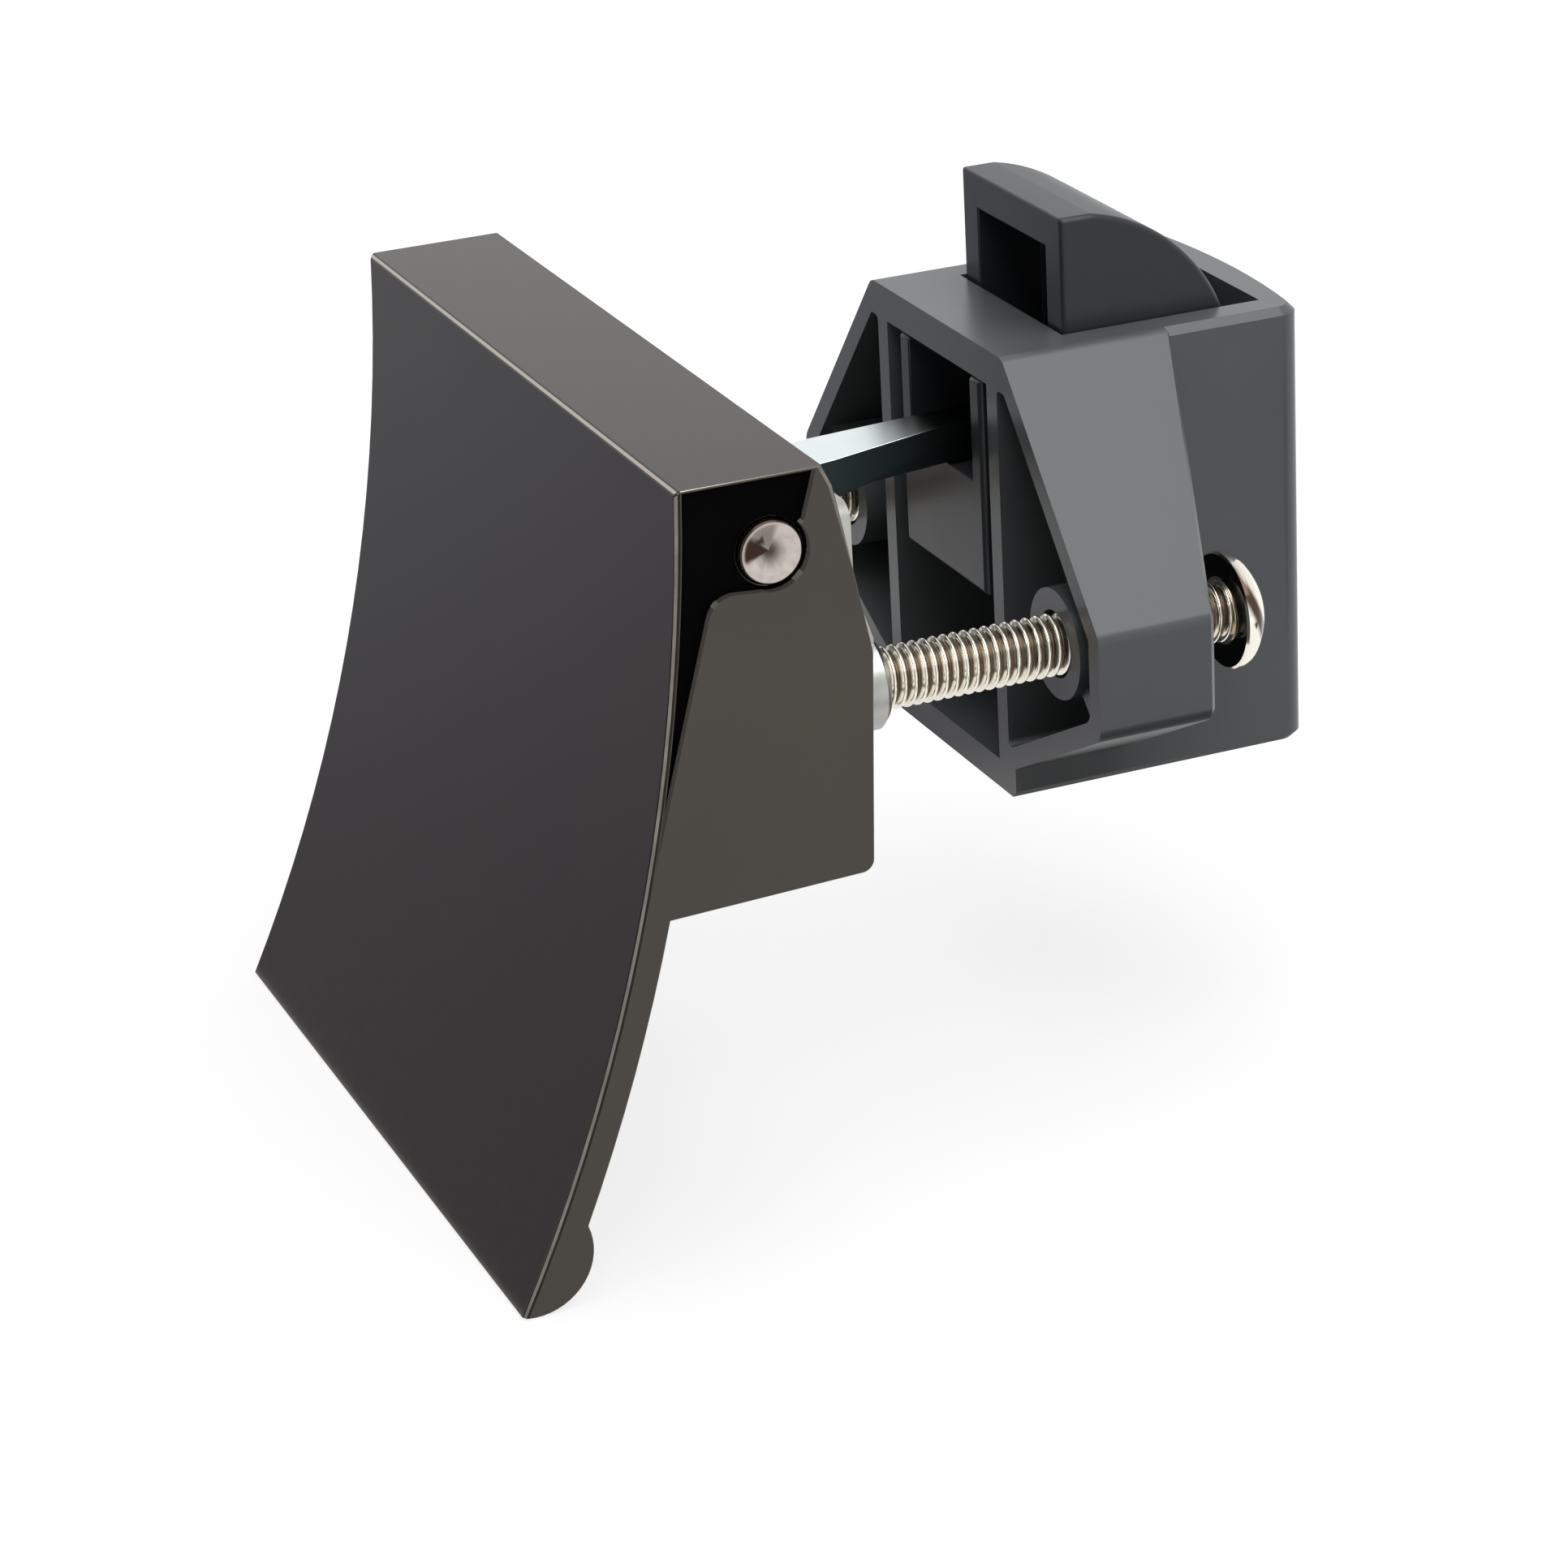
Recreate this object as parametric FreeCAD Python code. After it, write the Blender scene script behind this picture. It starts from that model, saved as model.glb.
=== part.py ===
"""Pull-handle cabinet latch: a flip-out handle on the outside of a door and a spring bolt in a case on its
inside, joined through the door by two long screws.

Millimetres. X runs along the handle, Y from the outside of the cabinet to its inside, Z up. The origin lies on
the door's outer face, midway between the two screw axes.
"""

import FreeCAD
import Part
import math
import os

V = FreeCAD.Vector

# Fits and clearances.
running_fit = 0.06
seated_fit = 0.02
swing_gap = 0.3
bolt_side_clearance = 0.25
bolt_end_clearance = 0.25

# Pivot pin.
pin_diameter = 4.0
pin_end_inset = 0.1
pin_chamfer = 0.15
dimple_diameter = 3.0
dimple_depth = 0.5

# Handle casting: plate, flange, cheeks, bead and lever ribs.
handle_width = 56.0
handle_height = 50.05
pivot_height = 14.0
plate_thickness = 1.9
plate_gap = 0.9
face_radius = 120.4
face_flare = 13.0
face_edge_chamfer = 0.25
flange_thickness = 1.5
flange_door_gap = 2.8
cheek_thickness = 2.4
cheek_shoulder_drop = 1.3
cheek_shoulder_gap = 2.2
cheek_knee_drop = 12.0
cheek_knee_gap = 0.15
cheek_foot_drop = 25.85
cheek_foot_gap = 0.75
cheek_front_drop = 26.35
cheek_corner_round = 0.8
bead_radius = 3.9
bead_proud = 1.15
recess_depth = 0.6
recess_margin = 0.4
recess_top_margin = 0.15
recess_corner_setback = 2.0
recess_corner_drop = 6.75
recess_corner_round = 1.7
recess_foot_drop = 25.45
recess_foot_setback = 6.2
recess_corner_slope = 0.3
recess_notch_setback = 0.9
recess_notch_rise = 1.6
pin_ring_gap = 0.35
rib_thickness = 2.0
rib_base_gap = 1.4
rib_drop = 15.15
rib_top_lean = 0.2
rib_heel_lean = 0.6
rib_heel_rise = 2.5
rib_toe_gap = 0.4
rib_toe_rise = 0.8

# Handle base casting: plate, lugs, threaded posts and their webs.
base_plate_thickness = 2.2
base_side_gap = 0.5
base_top_rise = 1.0
base_bottom_drop = 20.2
base_corner_round = 1.2
hub_gap = 1.0
lug_wall = 0.95
lug_width = 4.7
lug_foot_drop = 7.2
post_wall = 1.0
post_length = 4.7
post_chamfer = 0.4
inner_boss_wall = 1.8
inner_boss_length = 4.8
inner_boss_cap = 1.0
web_thickness = 2.0
web_height = 11.0
web_knee_height = 6.6
web_knee_depth = 3.2
web_foot_height = 3.2
lever_slot_side_gap = 0.7
lever_slot_swing_depth = 2.9

# Actuator lever and its rivet.
lever_thickness = 4.8
lever_tip_thickness = 1.4
lever_root_height = 3.95
lever_tip_height = 2.9
lever_root_lift = 4.9
lever_rise_y = 11.0
lever_rise_lift = 7.4
lever_taper_start = 8.5
lever_side_gap = 0.05
lever_reach = 6.15
lever_heel_drop = 9.6
lever_heel_round = 2.2
lever_neck_drop = 0.1
lever_pad_length = 1.4
lever_toe_rise = 0.25
lever_back_drop = 0.25
lever_back_round = 1.6
lever_bolt_gap = 0.4
lever_tip_round = 0.9
rivet_diameter = 2.5
rivet_head_diameter = 3.9
rivet_head_height = 0.7
rivet_drop = 7.0
rivet_setback = 1.05

# Lock case.
door_gap = 16.85
case_top_z = 16.9
case_height = 29.8
case_wall = 2.4
side_wall = 1.5
top_plate = 2.3
bottom_wall = 2.0
back_wall = 2.5
back_crown = 0.8
case_corner_round = 1.6
case_edge_chamfer = 0.5
outline_corner_round = 1.2
ear_side = 6.45
ear_rise = 2.4
ear_drop = 4.3
ear_foot_rise = 2.1
ear_depth = 8.08
ear_slant_z = 2.6
ear_top_depth = 11.9
ear_wall = 1.4
ear_back_wall = 1.6
ear_edge_chamfer = 0.35
boss_wall = 1.4
boss_inset = 0.1
gusset_thickness = 1.1
gusset_inset = 0.8
pocket_round = 0.4
pocket_corner_round = 1.2
slot_setback = 5.35
spigot_diameter = 4.4
spigot_height = 2.4

# Latch bolt.
bolt_width = 14.9
bolt_front_width = 12.5
bolt_front_inset = 0.15
bolt_body_height = 14.55
bolt_projection = 7.4
bolt_length = 13.5
bolt_tail_depth = 1.65
bolt_tail_drop = 1.95
wedge_flat = 2.25
wedge_foot_rise = 0.65
wedge_sagitta = 2.0
wedge_blend = 1.0
bolt_edge_chamfer = 0.25
window_width = 10.1
window_front_width = 9.4
window_floor_height = 7.5
window_head = 2.3
window_depth = 4.5

# Bolt spring.
spring_diameter = 6.5
spring_wire = 0.8
spring_turns = 6.0
spring_bore_gap = 0.5
spring_seat = 2.3
spring_offset = 4.55
spring_sides = 8
spring_steps = 12

# Fixing screws.
screw_offset = 6.35
screw_diameter = 4.0
screw_clearance = 0.2
screw_length = 30.0
screw_slack = 3.6
screw_tip_chamfer = 0.5
head_diameter = 7.6
head_edge = 1.1
head_height = 2.5
head_crown_diameter = 5.2
drive_width = 1.0
drive_span = 4.4
drive_depth = 1.7

# Places that follow from the sizes above.
pin_radius = pin_diameter / 2
hub_radius = pin_radius + lug_wall
pivot_y = -(base_plate_thickness + hub_gap + hub_radius)
pivot_z = pivot_height
handle_half = handle_width / 2
handle_top_z = pivot_z + hub_radius + swing_gap + flange_thickness
handle_bottom_z = handle_top_z - handle_height
face_top_y = pivot_y - hub_radius - plate_gap - plate_thickness
face_bottom_y = face_top_y - face_flare
base_half = handle_half - cheek_thickness - base_side_gap
rib_inner = lever_thickness / 2 + lever_side_gap
rib_outer = rib_inner + rib_thickness

cavity_half = bolt_width / 2 + bolt_side_clearance
case_half = cavity_half + case_wall
screw_x = case_half + screw_offset
ear_half = screw_x + ear_side
case_bottom_z = case_top_z - case_height
cavity_top_z = case_top_z - top_plate
cavity_bottom_z = case_bottom_z + bottom_wall
slot_front_y = door_gap + slot_setback
bolt_face_y = slot_front_y + bolt_end_clearance
bolt_back_y = bolt_face_y + bolt_length
cavity_back_y = bolt_back_y + bolt_end_clearance
case_back_y = cavity_back_y + back_wall
bolt_shoulder_z = cavity_top_z - bolt_end_clearance
bolt_bottom_z = bolt_shoulder_z - bolt_body_height
bolt_top_z = case_top_z + bolt_projection
bolt_front_y = door_gap + bolt_front_inset
window_floor_z = bolt_bottom_z + window_floor_height
window_top_z = bolt_top_z - window_head
window_back_y = bolt_face_y + window_depth
spring_y = bolt_face_y + spring_offset
spring_top_z = window_floor_z - spring_seat
ear_back_y = door_gap + ear_depth
lever_tip_y = door_gap + lever_reach
lever_under_z = window_floor_z + lever_bolt_gap
lever_root_top_z = lever_root_lift + lever_root_height
screw_radius = screw_diameter / 2
screw_head_y = ear_back_y + screw_slack
screw_tip_y = screw_head_y - screw_length


def place(plane, u, v, w):
    """A point in a plane's own coordinates u and v, at w along its normal."""
    if plane == "YZ":
        return V(w, u, v)
    if plane == "XZ":
        return V(u, w, v)
    return V(u, v, w)


def corner(before, here, after, radius):
    """Start, middle and end of the rounding of one corner of an outline."""
    p = V(here[0], here[1], 0)
    a = V(before[0], before[1], 0) - p
    b = V(after[0], after[1], 0) - p
    a.normalize()
    b.normalize()
    half = math.acos(max(-1.0, min(1.0, a * b))) / 2
    bisector = a + b
    bisector.normalize()
    reach = radius / math.tan(half)
    middle = p + bisector * (radius / math.sin(half) - radius)
    return p + a * reach, middle, p + b * reach


def face(plane, corners, w=0.0):
    """A flat face inside corners (u, v, radius), each corner rounded by its radius."""
    edges = []
    last = None
    first = None
    for i, here in enumerate(corners):
        start = end = V(here[0], here[1], 0)
        if here[2] > 0:
            before = corners[i - 1]
            after = corners[(i + 1) % len(corners)]
            start, middle, end = corner(before, here, after, here[2])
        if last is not None and last.distanceToPoint(start) > 1e-6:
            edges.append(Part.LineSegment(place(plane, last.x, last.y, w), place(plane, start.x, start.y, w)))
        if here[2] > 0:
            ends = [place(plane, q.x, q.y, w) for q in (start, middle, end)]
            edges.append(Part.Arc(*ends))
        if first is None:
            first = start
        last = end
    edges.append(Part.LineSegment(place(plane, last.x, last.y, w), place(plane, first.x, first.y, w)))
    return Part.Face(Part.Wire([edge.toShape() for edge in edges]))


def prism(plane, corners, start, end):
    """The solid between two offsets of a rounded outline."""
    direction = place(plane, 0, 0, end - start)
    return face(plane, corners, start).extrude(direction)


def sharp(points):
    return [(u, v, 0.0) for u, v in points]


def block(x0, x1, y0, y1, z0, z1):
    return Part.makeBox(x1 - x0, y1 - y0, z1 - z0, V(x0, y0, z0))


def rod_x(radius, x0, x1, y, z):
    return Part.makeCylinder(radius, x1 - x0, V(x0, y, z), V(1, 0, 0))


def rod_y(radius, y0, y1, x, z):
    return Part.makeCylinder(radius, y1 - y0, V(x, y0, z), V(0, 1, 0))


def mirrored(shape):
    return shape.mirror(V(0, 0, 0), V(1, 0, 0))


def both_sides(shape):
    return [shape, mirrored(shape)]


def joined(shapes):
    return shapes[0].multiFuse(shapes[1:]).removeSplitter()


def edges_on(shape, test):
    """The edges of a shape whose vertices and middle all meet a test."""
    found = []
    for edge in shape.Edges:
        middle = edge.valueAt((edge.FirstParameter + edge.LastParameter) / 2)
        points = [vertex.Point for vertex in edge.Vertexes] + [middle]
        if all(test(p) for p in points):
            found.append(edge)
    return found


def face_centre():
    """Centre of the hollow curve of the handle's front, in Y and Z."""
    top = V(0, face_top_y, handle_top_z)
    bottom = V(0, face_bottom_y, handle_bottom_z)
    chord = bottom - top
    outward = V(0, chord.z, -chord.y)
    outward.normalize()
    height = math.sqrt(face_radius ** 2 - (chord.Length / 2) ** 2)
    return (top + bottom) * 0.5 + outward * height


def face_depth(z):
    """Y of the handle's front face at a height."""
    centre = face_centre()
    return centre.y + math.sqrt(face_radius ** 2 - (z - centre.z) ** 2)


def bead_centre():
    """Centre of the finger bead: its circle ends on the lower edge of the front face."""
    centre = face_centre()
    reach = face_radius + plate_thickness + bead_proud - bead_radius
    lower = V(0, face_bottom_y, handle_bottom_z) - centre
    cosine = (face_radius ** 2 + reach ** 2 - bead_radius ** 2) / (2 * face_radius * reach)
    angle = math.atan2(lower.z, lower.y) + math.acos(cosine)
    return V(0, centre.y + reach * math.cos(angle), centre.z + reach * math.sin(angle))


def face_cylinder(radius):
    centre = face_centre()
    margin = handle_width
    return rod_x(radius, -handle_half - margin, handle_half + margin, centre.y, centre.z)


def handle_plate():
    """The curved plate of the handle, left long below so that its bead can round it off."""
    outer = face_cylinder(face_radius + plate_thickness)
    room = block(-handle_half, handle_half, 2 * face_bottom_y, 0, handle_bottom_z - bead_radius, handle_top_z)
    return room.common(outer)


def below_bead():
    """What is trimmed from the long plate: all below the middle of the bead and outside its round."""
    bead = bead_centre()
    depth = 2 * bead_radius
    room = block(-handle_width, handle_width, bead.y - 2 * depth, bead.y + 2 * depth, bead.z - 2 * depth, bead.z)
    return room.cut(rod_x(bead_radius, -handle_width, handle_width, bead.y, bead.z))


def cheek():
    """Right end cheek of the handle, from the flange to its foot."""
    inside = face_top_y - plate_thickness
    outline = [
        (inside, handle_top_z, 0),
        (-flange_door_gap, handle_top_z, 0),
        (-cheek_shoulder_gap, handle_top_z - cheek_shoulder_drop, cheek_corner_round),
        (-cheek_knee_gap, handle_top_z - cheek_knee_drop, cheek_corner_round),
        (-cheek_foot_gap, handle_top_z - cheek_foot_drop, cheek_corner_round),
        (face_depth(handle_top_z - cheek_front_drop), handle_top_z - cheek_front_drop, 0),
    ]
    return prism("YZ", outline, handle_half - cheek_thickness, handle_half)


def lever_rib():
    """One of the two ribs behind the plate that hold the lever's hub."""
    back = -(base_plate_thickness + rib_base_gap)
    foot = pivot_z + hub_radius + swing_gap - rib_drop - cheek_corner_round
    outline = [
        (face_top_y, handle_top_z, 0),
        (back - rib_top_lean, handle_top_z, 0),
        (back, pivot_z - hub_radius, 0),
        (back - rib_heel_lean, foot + rib_heel_rise, cheek_corner_round),
        (pivot_y - rib_toe_gap, foot + rib_toe_rise, cheek_corner_round),
        (face_depth(foot) - plate_thickness, foot, 0),
    ]
    return prism("YZ", outline, rib_inner, rib_outer)


def side_recess():
    """Shallow L-shaped recess in an end face, along its top and front edges and round the pin."""
    top = handle_top_z - recess_top_margin
    right = -flange_door_gap - recess_margin
    corner_z = handle_top_z - recess_corner_drop
    outline = [
        (face_top_y - plate_thickness, top, 0),
        (right, top, 0),
        (pivot_y + hub_radius - recess_notch_setback, pivot_z + recess_notch_rise, 0),
        (pivot_y, pivot_z, 0),
        (pivot_y, corner_z - recess_corner_slope, 0),
        (face_top_y + recess_corner_setback, corner_z, recess_corner_round),
        (pivot_y - hub_radius - recess_foot_setback, handle_top_z - recess_foot_drop, 0),
        (face_bottom_y, handle_top_z - recess_foot_drop, 0),
    ]
    floor = handle_half - recess_depth
    band = prism("YZ", outline, floor, handle_half + 1)
    band = band.cut(face_cylinder(face_radius + recess_margin))
    ring = rod_x(pin_radius + pin_ring_gap, floor, handle_half + 1, pivot_y, pivot_z)
    return band.fuse(ring)


def handle():
    bead = bead_centre()
    solid = joined(
        [
            handle_plate(),
            rod_x(bead_radius, -handle_half, handle_half, bead.y, bead.z),
            block(-handle_half, handle_half, face_top_y, -flange_door_gap,
                  handle_top_z - flange_thickness, handle_top_z),
        ]
        + both_sides(cheek())
        + both_sides(lever_rib())
    )
    solid = solid.cut(face_cylinder(face_radius)).removeSplitter()
    centre = face_centre()

    def on_face(p):
        return abs(math.hypot(p.y - centre.y, p.z - centre.z) - face_radius) < 0.01

    rim = [edge for edge in edges_on(solid, on_face) if edge.CenterOfMass.z > handle_bottom_z]
    solid = solid.makeChamfer(face_edge_chamfer, rim).cut(below_bead())
    for recess in both_sides(side_recess()):
        solid = solid.cut(recess)
    solid = solid.cut(rod_x(pin_radius + running_fit, -handle_width, handle_width, pivot_y, pivot_z))
    rivet = rod_x(rivet_diameter / 2 + seated_fit, -rib_outer, rib_outer, pivot_y - rivet_setback, pivot_z - rivet_drop)
    return solid.cut(rivet)


def pivot_pin():
    """Pin across the whole handle, with a conical dimple in each chamfered end."""
    end = handle_half - pin_end_inset
    pin = rod_x(pin_radius, -end, end, pivot_y, pivot_z)
    pin = pin.makeChamfer(pin_chamfer, edges_on(pin, lambda p: abs(abs(p.x) - end) < 0.01))
    dimple = Part.makeCone(dimple_diameter / 2, 0, dimple_depth, V(end, pivot_y, pivot_z), V(-1, 0, 0))
    for tool in both_sides(dimple):
        pin = pin.cut(tool)
    return pin


def lug():
    """Right pivot lug of the base, a round eye carried by a web down to the base plate."""
    eye = rod_x(hub_radius, base_half - lug_width, base_half, pivot_y, pivot_z)
    lean = hub_radius * math.sqrt(0.5)
    plate_front = -base_plate_thickness
    outline = [
        (pivot_y + lean, pivot_z + lean),
        (plate_front, pivot_z + base_top_rise),
        (plate_front + base_plate_thickness / 2, pivot_z + base_top_rise),
        (plate_front + base_plate_thickness / 2, pivot_z - lug_foot_drop),
        (plate_front, pivot_z - lug_foot_drop),
        (pivot_y - lean, pivot_z - lean),
    ]
    return eye.fuse(prism("YZ", sharp(outline), base_half - lug_width, base_half))


def post():
    """Right threaded post with its boss inside the base."""
    outer = rod_y(screw_radius + post_wall, -base_plate_thickness, post_length, screw_x, 0)
    outer = outer.makeChamfer(post_chamfer, edges_on(outer, lambda p: abs(p.y - post_length) < 0.01))
    front = -base_plate_thickness - inner_boss_length
    inner = rod_y(screw_radius + inner_boss_wall, front, -base_plate_thickness / 2, screw_x, 0)
    return outer.fuse(inner)


def post_web():
    """Web above a post, which stiffens the post against the base plate."""
    outline = [
        (-base_plate_thickness / 2, web_height),
        (0, web_height),
        (web_knee_depth, web_knee_height),
        (post_length - post_chamfer, web_foot_height),
        (post_length - post_chamfer, 0),
        (-base_plate_thickness / 2, 0),
    ]
    half = web_thickness / 2
    return prism("YZ", sharp(outline), screw_x - half, screw_x + half)


def handle_base():
    top = pivot_z + base_top_rise
    bottom = pivot_z - base_bottom_drop
    plate = prism(
        "XZ",
        [(u, v, base_corner_round) for u, v in
         [(-base_half, bottom), (base_half, bottom), (base_half, top), (-base_half, top)]],
        -base_plate_thickness, 0)
    solid = joined([plate] + both_sides(lug()) + both_sides(post()) + both_sides(post_web()))
    slot_half = lever_thickness / 2 + lever_slot_side_gap
    slot = block(-slot_half, slot_half, -base_plate_thickness - 1, 1,
                 lever_root_lift - lever_slot_swing_depth, lever_root_top_z + swing_gap)
    solid = solid.cut(slot)
    bore_end = -base_plate_thickness - inner_boss_length + inner_boss_cap
    for bore in both_sides(rod_y(screw_radius + seated_fit, bore_end, post_length + 1, screw_x, 0)):
        solid = solid.cut(bore)
    return solid.cut(rod_x(pin_radius + seated_fit, -handle_width, handle_width, pivot_y, pivot_z))


def lever_profile():
    """Side view of the lever: the arm below its hub, the heel and the finger that runs into the case."""
    front = pivot_y - hub_radius
    rear = pivot_y + hub_radius
    heel = pivot_z - lever_heel_drop
    return [
        (front, pivot_z, 0),
        (front, heel, lever_heel_round),
        (-base_plate_thickness / 2, lever_root_lift - lever_neck_drop, 0),
        (lever_rise_y, lever_rise_lift, 0),
        (lever_tip_y - lever_pad_length, lever_under_z, 0),
        (lever_tip_y, lever_under_z + lever_toe_rise, lever_tip_round),
        (lever_tip_y, lever_under_z + lever_tip_height, lever_tip_round),
        (rear, lever_root_top_z - lever_back_drop, lever_back_round),
        (rear, pivot_z, 0),
    ]


def lever_plan():
    """Plan view of the lever: parallel sides, then a taper to its tip."""
    root = lever_thickness / 2
    tip = lever_tip_thickness / 2
    return sharp([
        (-root, 2 * pivot_y), (root, 2 * pivot_y), (root, lever_taper_start), (tip, lever_tip_y + 1),
        (-tip, lever_tip_y + 1), (-root, lever_taper_start),
    ])


def actuator_lever():
    half = lever_thickness / 2
    side = prism("YZ", lever_profile(), -half, half)
    side = side.fuse(rod_x(hub_radius, -half, half, pivot_y, pivot_z))
    solid = side.common(prism("XY", lever_plan(), -handle_height, handle_height)).removeSplitter()
    solid = solid.cut(rod_x(pin_radius + running_fit, -half, half, pivot_y, pivot_z))
    rivet = rod_x(rivet_diameter / 2 + seated_fit, -half, half, pivot_y - rivet_setback, pivot_z - rivet_drop)
    return solid.cut(rivet)


def lever_rivet():
    """Rivet through both ribs and the lever, with a low round head at each end."""
    y = pivot_y - rivet_setback
    z = pivot_z - rivet_drop
    shank = rod_x(rivet_diameter / 2, -rib_outer, rib_outer, y, z)
    head = Part.makeCone(rivet_head_diameter / 2, rivet_diameter / 2, rivet_head_height,
                         V(rib_outer, y, z), V(1, 0, 0))
    return joined([shank] + both_sides(head))


def offset_line(a, b, distance):
    """A line through two points, moved to its right-hand side by a distance."""
    direction = V(b[0] - a[0], b[1] - a[1], 0)
    direction.normalize()
    shift = V(direction.y, -direction.x, 0) * distance
    return (a[0] + shift.x, a[1] + shift.y), (b[0] + shift.x, b[1] + shift.y)


def crossing(first, second):
    """The point where two lines, each given by two points, meet."""
    (x1, y1), (x2, y2) = first
    (x3, y3), (x4, y4) = second
    scale = (x1 - x2) * (y3 - y4) - (y1 - y2) * (x3 - x4)
    a = x1 * y2 - y1 * x2
    b = x3 * y4 - y3 * x4
    return (a * (x3 - x4) - (x1 - x2) * b) / scale, (a * (y3 - y4) - (y1 - y2) * b) / scale


def ear_front():
    """Front view of the case with both ears."""
    right = [
        (case_half, case_top_z, outline_corner_round),
        (ear_half, ear_rise, outline_corner_round),
        (ear_half, -ear_drop, outline_corner_round),
        (case_half, case_bottom_z + ear_foot_rise, 0),
    ]
    left = [(-x, z, r) for x, z, r in reversed(right)]
    return right + left


def ear_side_view(front, wall):
    """Side view of an ear: upright behind the screw seat, then slanting back towards the top."""
    depth = ear_back_y - wall
    slope = (ear_top_depth - ear_depth) / (case_top_z - ear_slant_z)
    reach = 2.0
    top = case_top_z + reach
    return [
        (front, case_bottom_z - reach, 0),
        (depth, case_bottom_z - reach, 0),
        (depth, ear_slant_z, 6.0),
        (depth + slope * (top - ear_slant_z), top, 0),
        (front, top, 0),
    ]


def case_block():
    """Main box of the case, with its rounded and slightly crowned back."""
    shoulder = case_back_y - back_crown
    half = case_half
    edges = face("XY", [(-half, door_gap, 0), (half, door_gap, 0), (half, shoulder, 0), (-half, shoulder, 0)])
    plan = edges.extrude(V(0, 0, case_height))
    radius = (half ** 2 + back_crown ** 2) / (2 * back_crown)
    crown = Part.makeCylinder(radius, case_height, V(0, case_back_y - radius, 0), V(0, 0, 1))
    room = block(-half, half, shoulder - 1, case_back_y, 0, case_height)
    solid = plan.fuse(crown.common(room)).removeSplitter()
    upright = edges_on(solid, lambda p: p.y > door_gap + 1 and abs(abs(p.x) - half) < 0.01)
    upright = [edge for edge in upright if abs(edge.Vertexes[0].Z - edge.Vertexes[-1].Z) > 1]
    solid = solid.makeFillet(case_corner_round, upright)
    rims = edges_on(solid, lambda p: p.y > door_gap - 0.01 and (p.z < 0.01 or p.z > case_height - 0.01))
    rims = [edge for edge in rims if edge.CenterOfMass.y > door_gap + 0.1]
    solid = solid.makeChamfer(case_edge_chamfer, rims)
    solid.translate(V(0, 0, case_bottom_z))
    return solid


def ears():
    """Both ears as one block with broken rear edges."""
    deep = ear_back_y + ear_top_depth
    front_view = prism("XZ", ear_front(), door_gap, deep)
    side_view = prism("YZ", ear_side_view(door_gap, 0), -2 * ear_half, 2 * ear_half)
    solid = front_view.common(side_view).removeSplitter()
    back = edges_on(solid, lambda p: p.y > ear_back_y - 0.01)
    return solid.makeChamfer(ear_edge_chamfer, back)


def ear_pocket():
    """Hollow of the right ear, open to the front."""
    inner = cavity_half + side_wall
    slant = offset_line((case_half, case_top_z), (ear_half, ear_rise), ear_wall)
    under = offset_line((ear_half, -ear_drop), (case_half, case_bottom_z + ear_foot_rise), ear_wall)
    ceiling = ((0.0, cavity_top_z), (1.0, cavity_top_z))
    outer = ((ear_half - ear_wall, 0.0), (ear_half - ear_wall, 1.0))
    inward = ((inner, 0.0), (inner, 1.0))
    points = [
        (inner, cavity_top_z, pocket_round),
        (*crossing(ceiling, slant), pocket_round),
        (*crossing(slant, outer), pocket_round),
        (*crossing(outer, under), pocket_corner_round),
        (*crossing(under, inward), pocket_round),
    ]
    front_view = prism("XZ", points, door_gap - 1, ear_back_y + ear_top_depth)
    side_view = prism("YZ", ear_side_view(door_gap - 1, ear_back_wall), 0, 2 * ear_half)
    return front_view.common(side_view)


def boss():
    """Right screw boss with its gussets, inside the ear."""
    front = door_gap + boss_inset
    back = ear_back_y - ear_back_wall / 2
    radius = screw_radius + screw_clearance + boss_wall
    solid = [rod_y(radius, front, back, screw_x, 0)]
    slant = V(ear_half - case_half, 0, ear_rise - case_top_z)
    slant.normalize()
    downward = V(math.sqrt(0.5), 0, -math.sqrt(0.5))
    for way in (V(-slant.z, 0, slant.x), downward):
        side = V(-way.z, 0, way.x) * (gusset_thickness / 2)
        start = V(screw_x, 0, 0)
        end = start + way * (ear_half - screw_x)
        points = [start - side, end - side, end + side, start + side]
        solid.append(prism("XZ", sharp([(p.x, p.z) for p in points]), front + gusset_inset, back))
    return solid


def lock_body():
    solid = joined([case_block(), ears()])
    cavity = block(-cavity_half, cavity_half, door_gap - 1, cavity_back_y, cavity_bottom_z, cavity_top_z)
    slot = block(-cavity_half, cavity_half, slot_front_y, cavity_back_y, cavity_top_z - 1, case_top_z + 1)
    shell = solid.cut(cavity).cut(slot)
    for pocket in both_sides(ear_pocket()):
        shell = shell.cut(pocket)
    inside = ears()
    fittings = [piece.common(inside) for piece in boss()]
    parts = [shell, Part.makeCylinder(spigot_diameter / 2, spigot_height + 1, V(0, spring_y, cavity_bottom_z - 1))]
    for piece in fittings:
        parts += both_sides(piece)
    shell = joined(parts)
    for hole in both_sides(rod_y(screw_radius + screw_clearance, 0, case_back_y, screw_x, 0)):
        shell = shell.cut(hole)
    return shell


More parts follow.
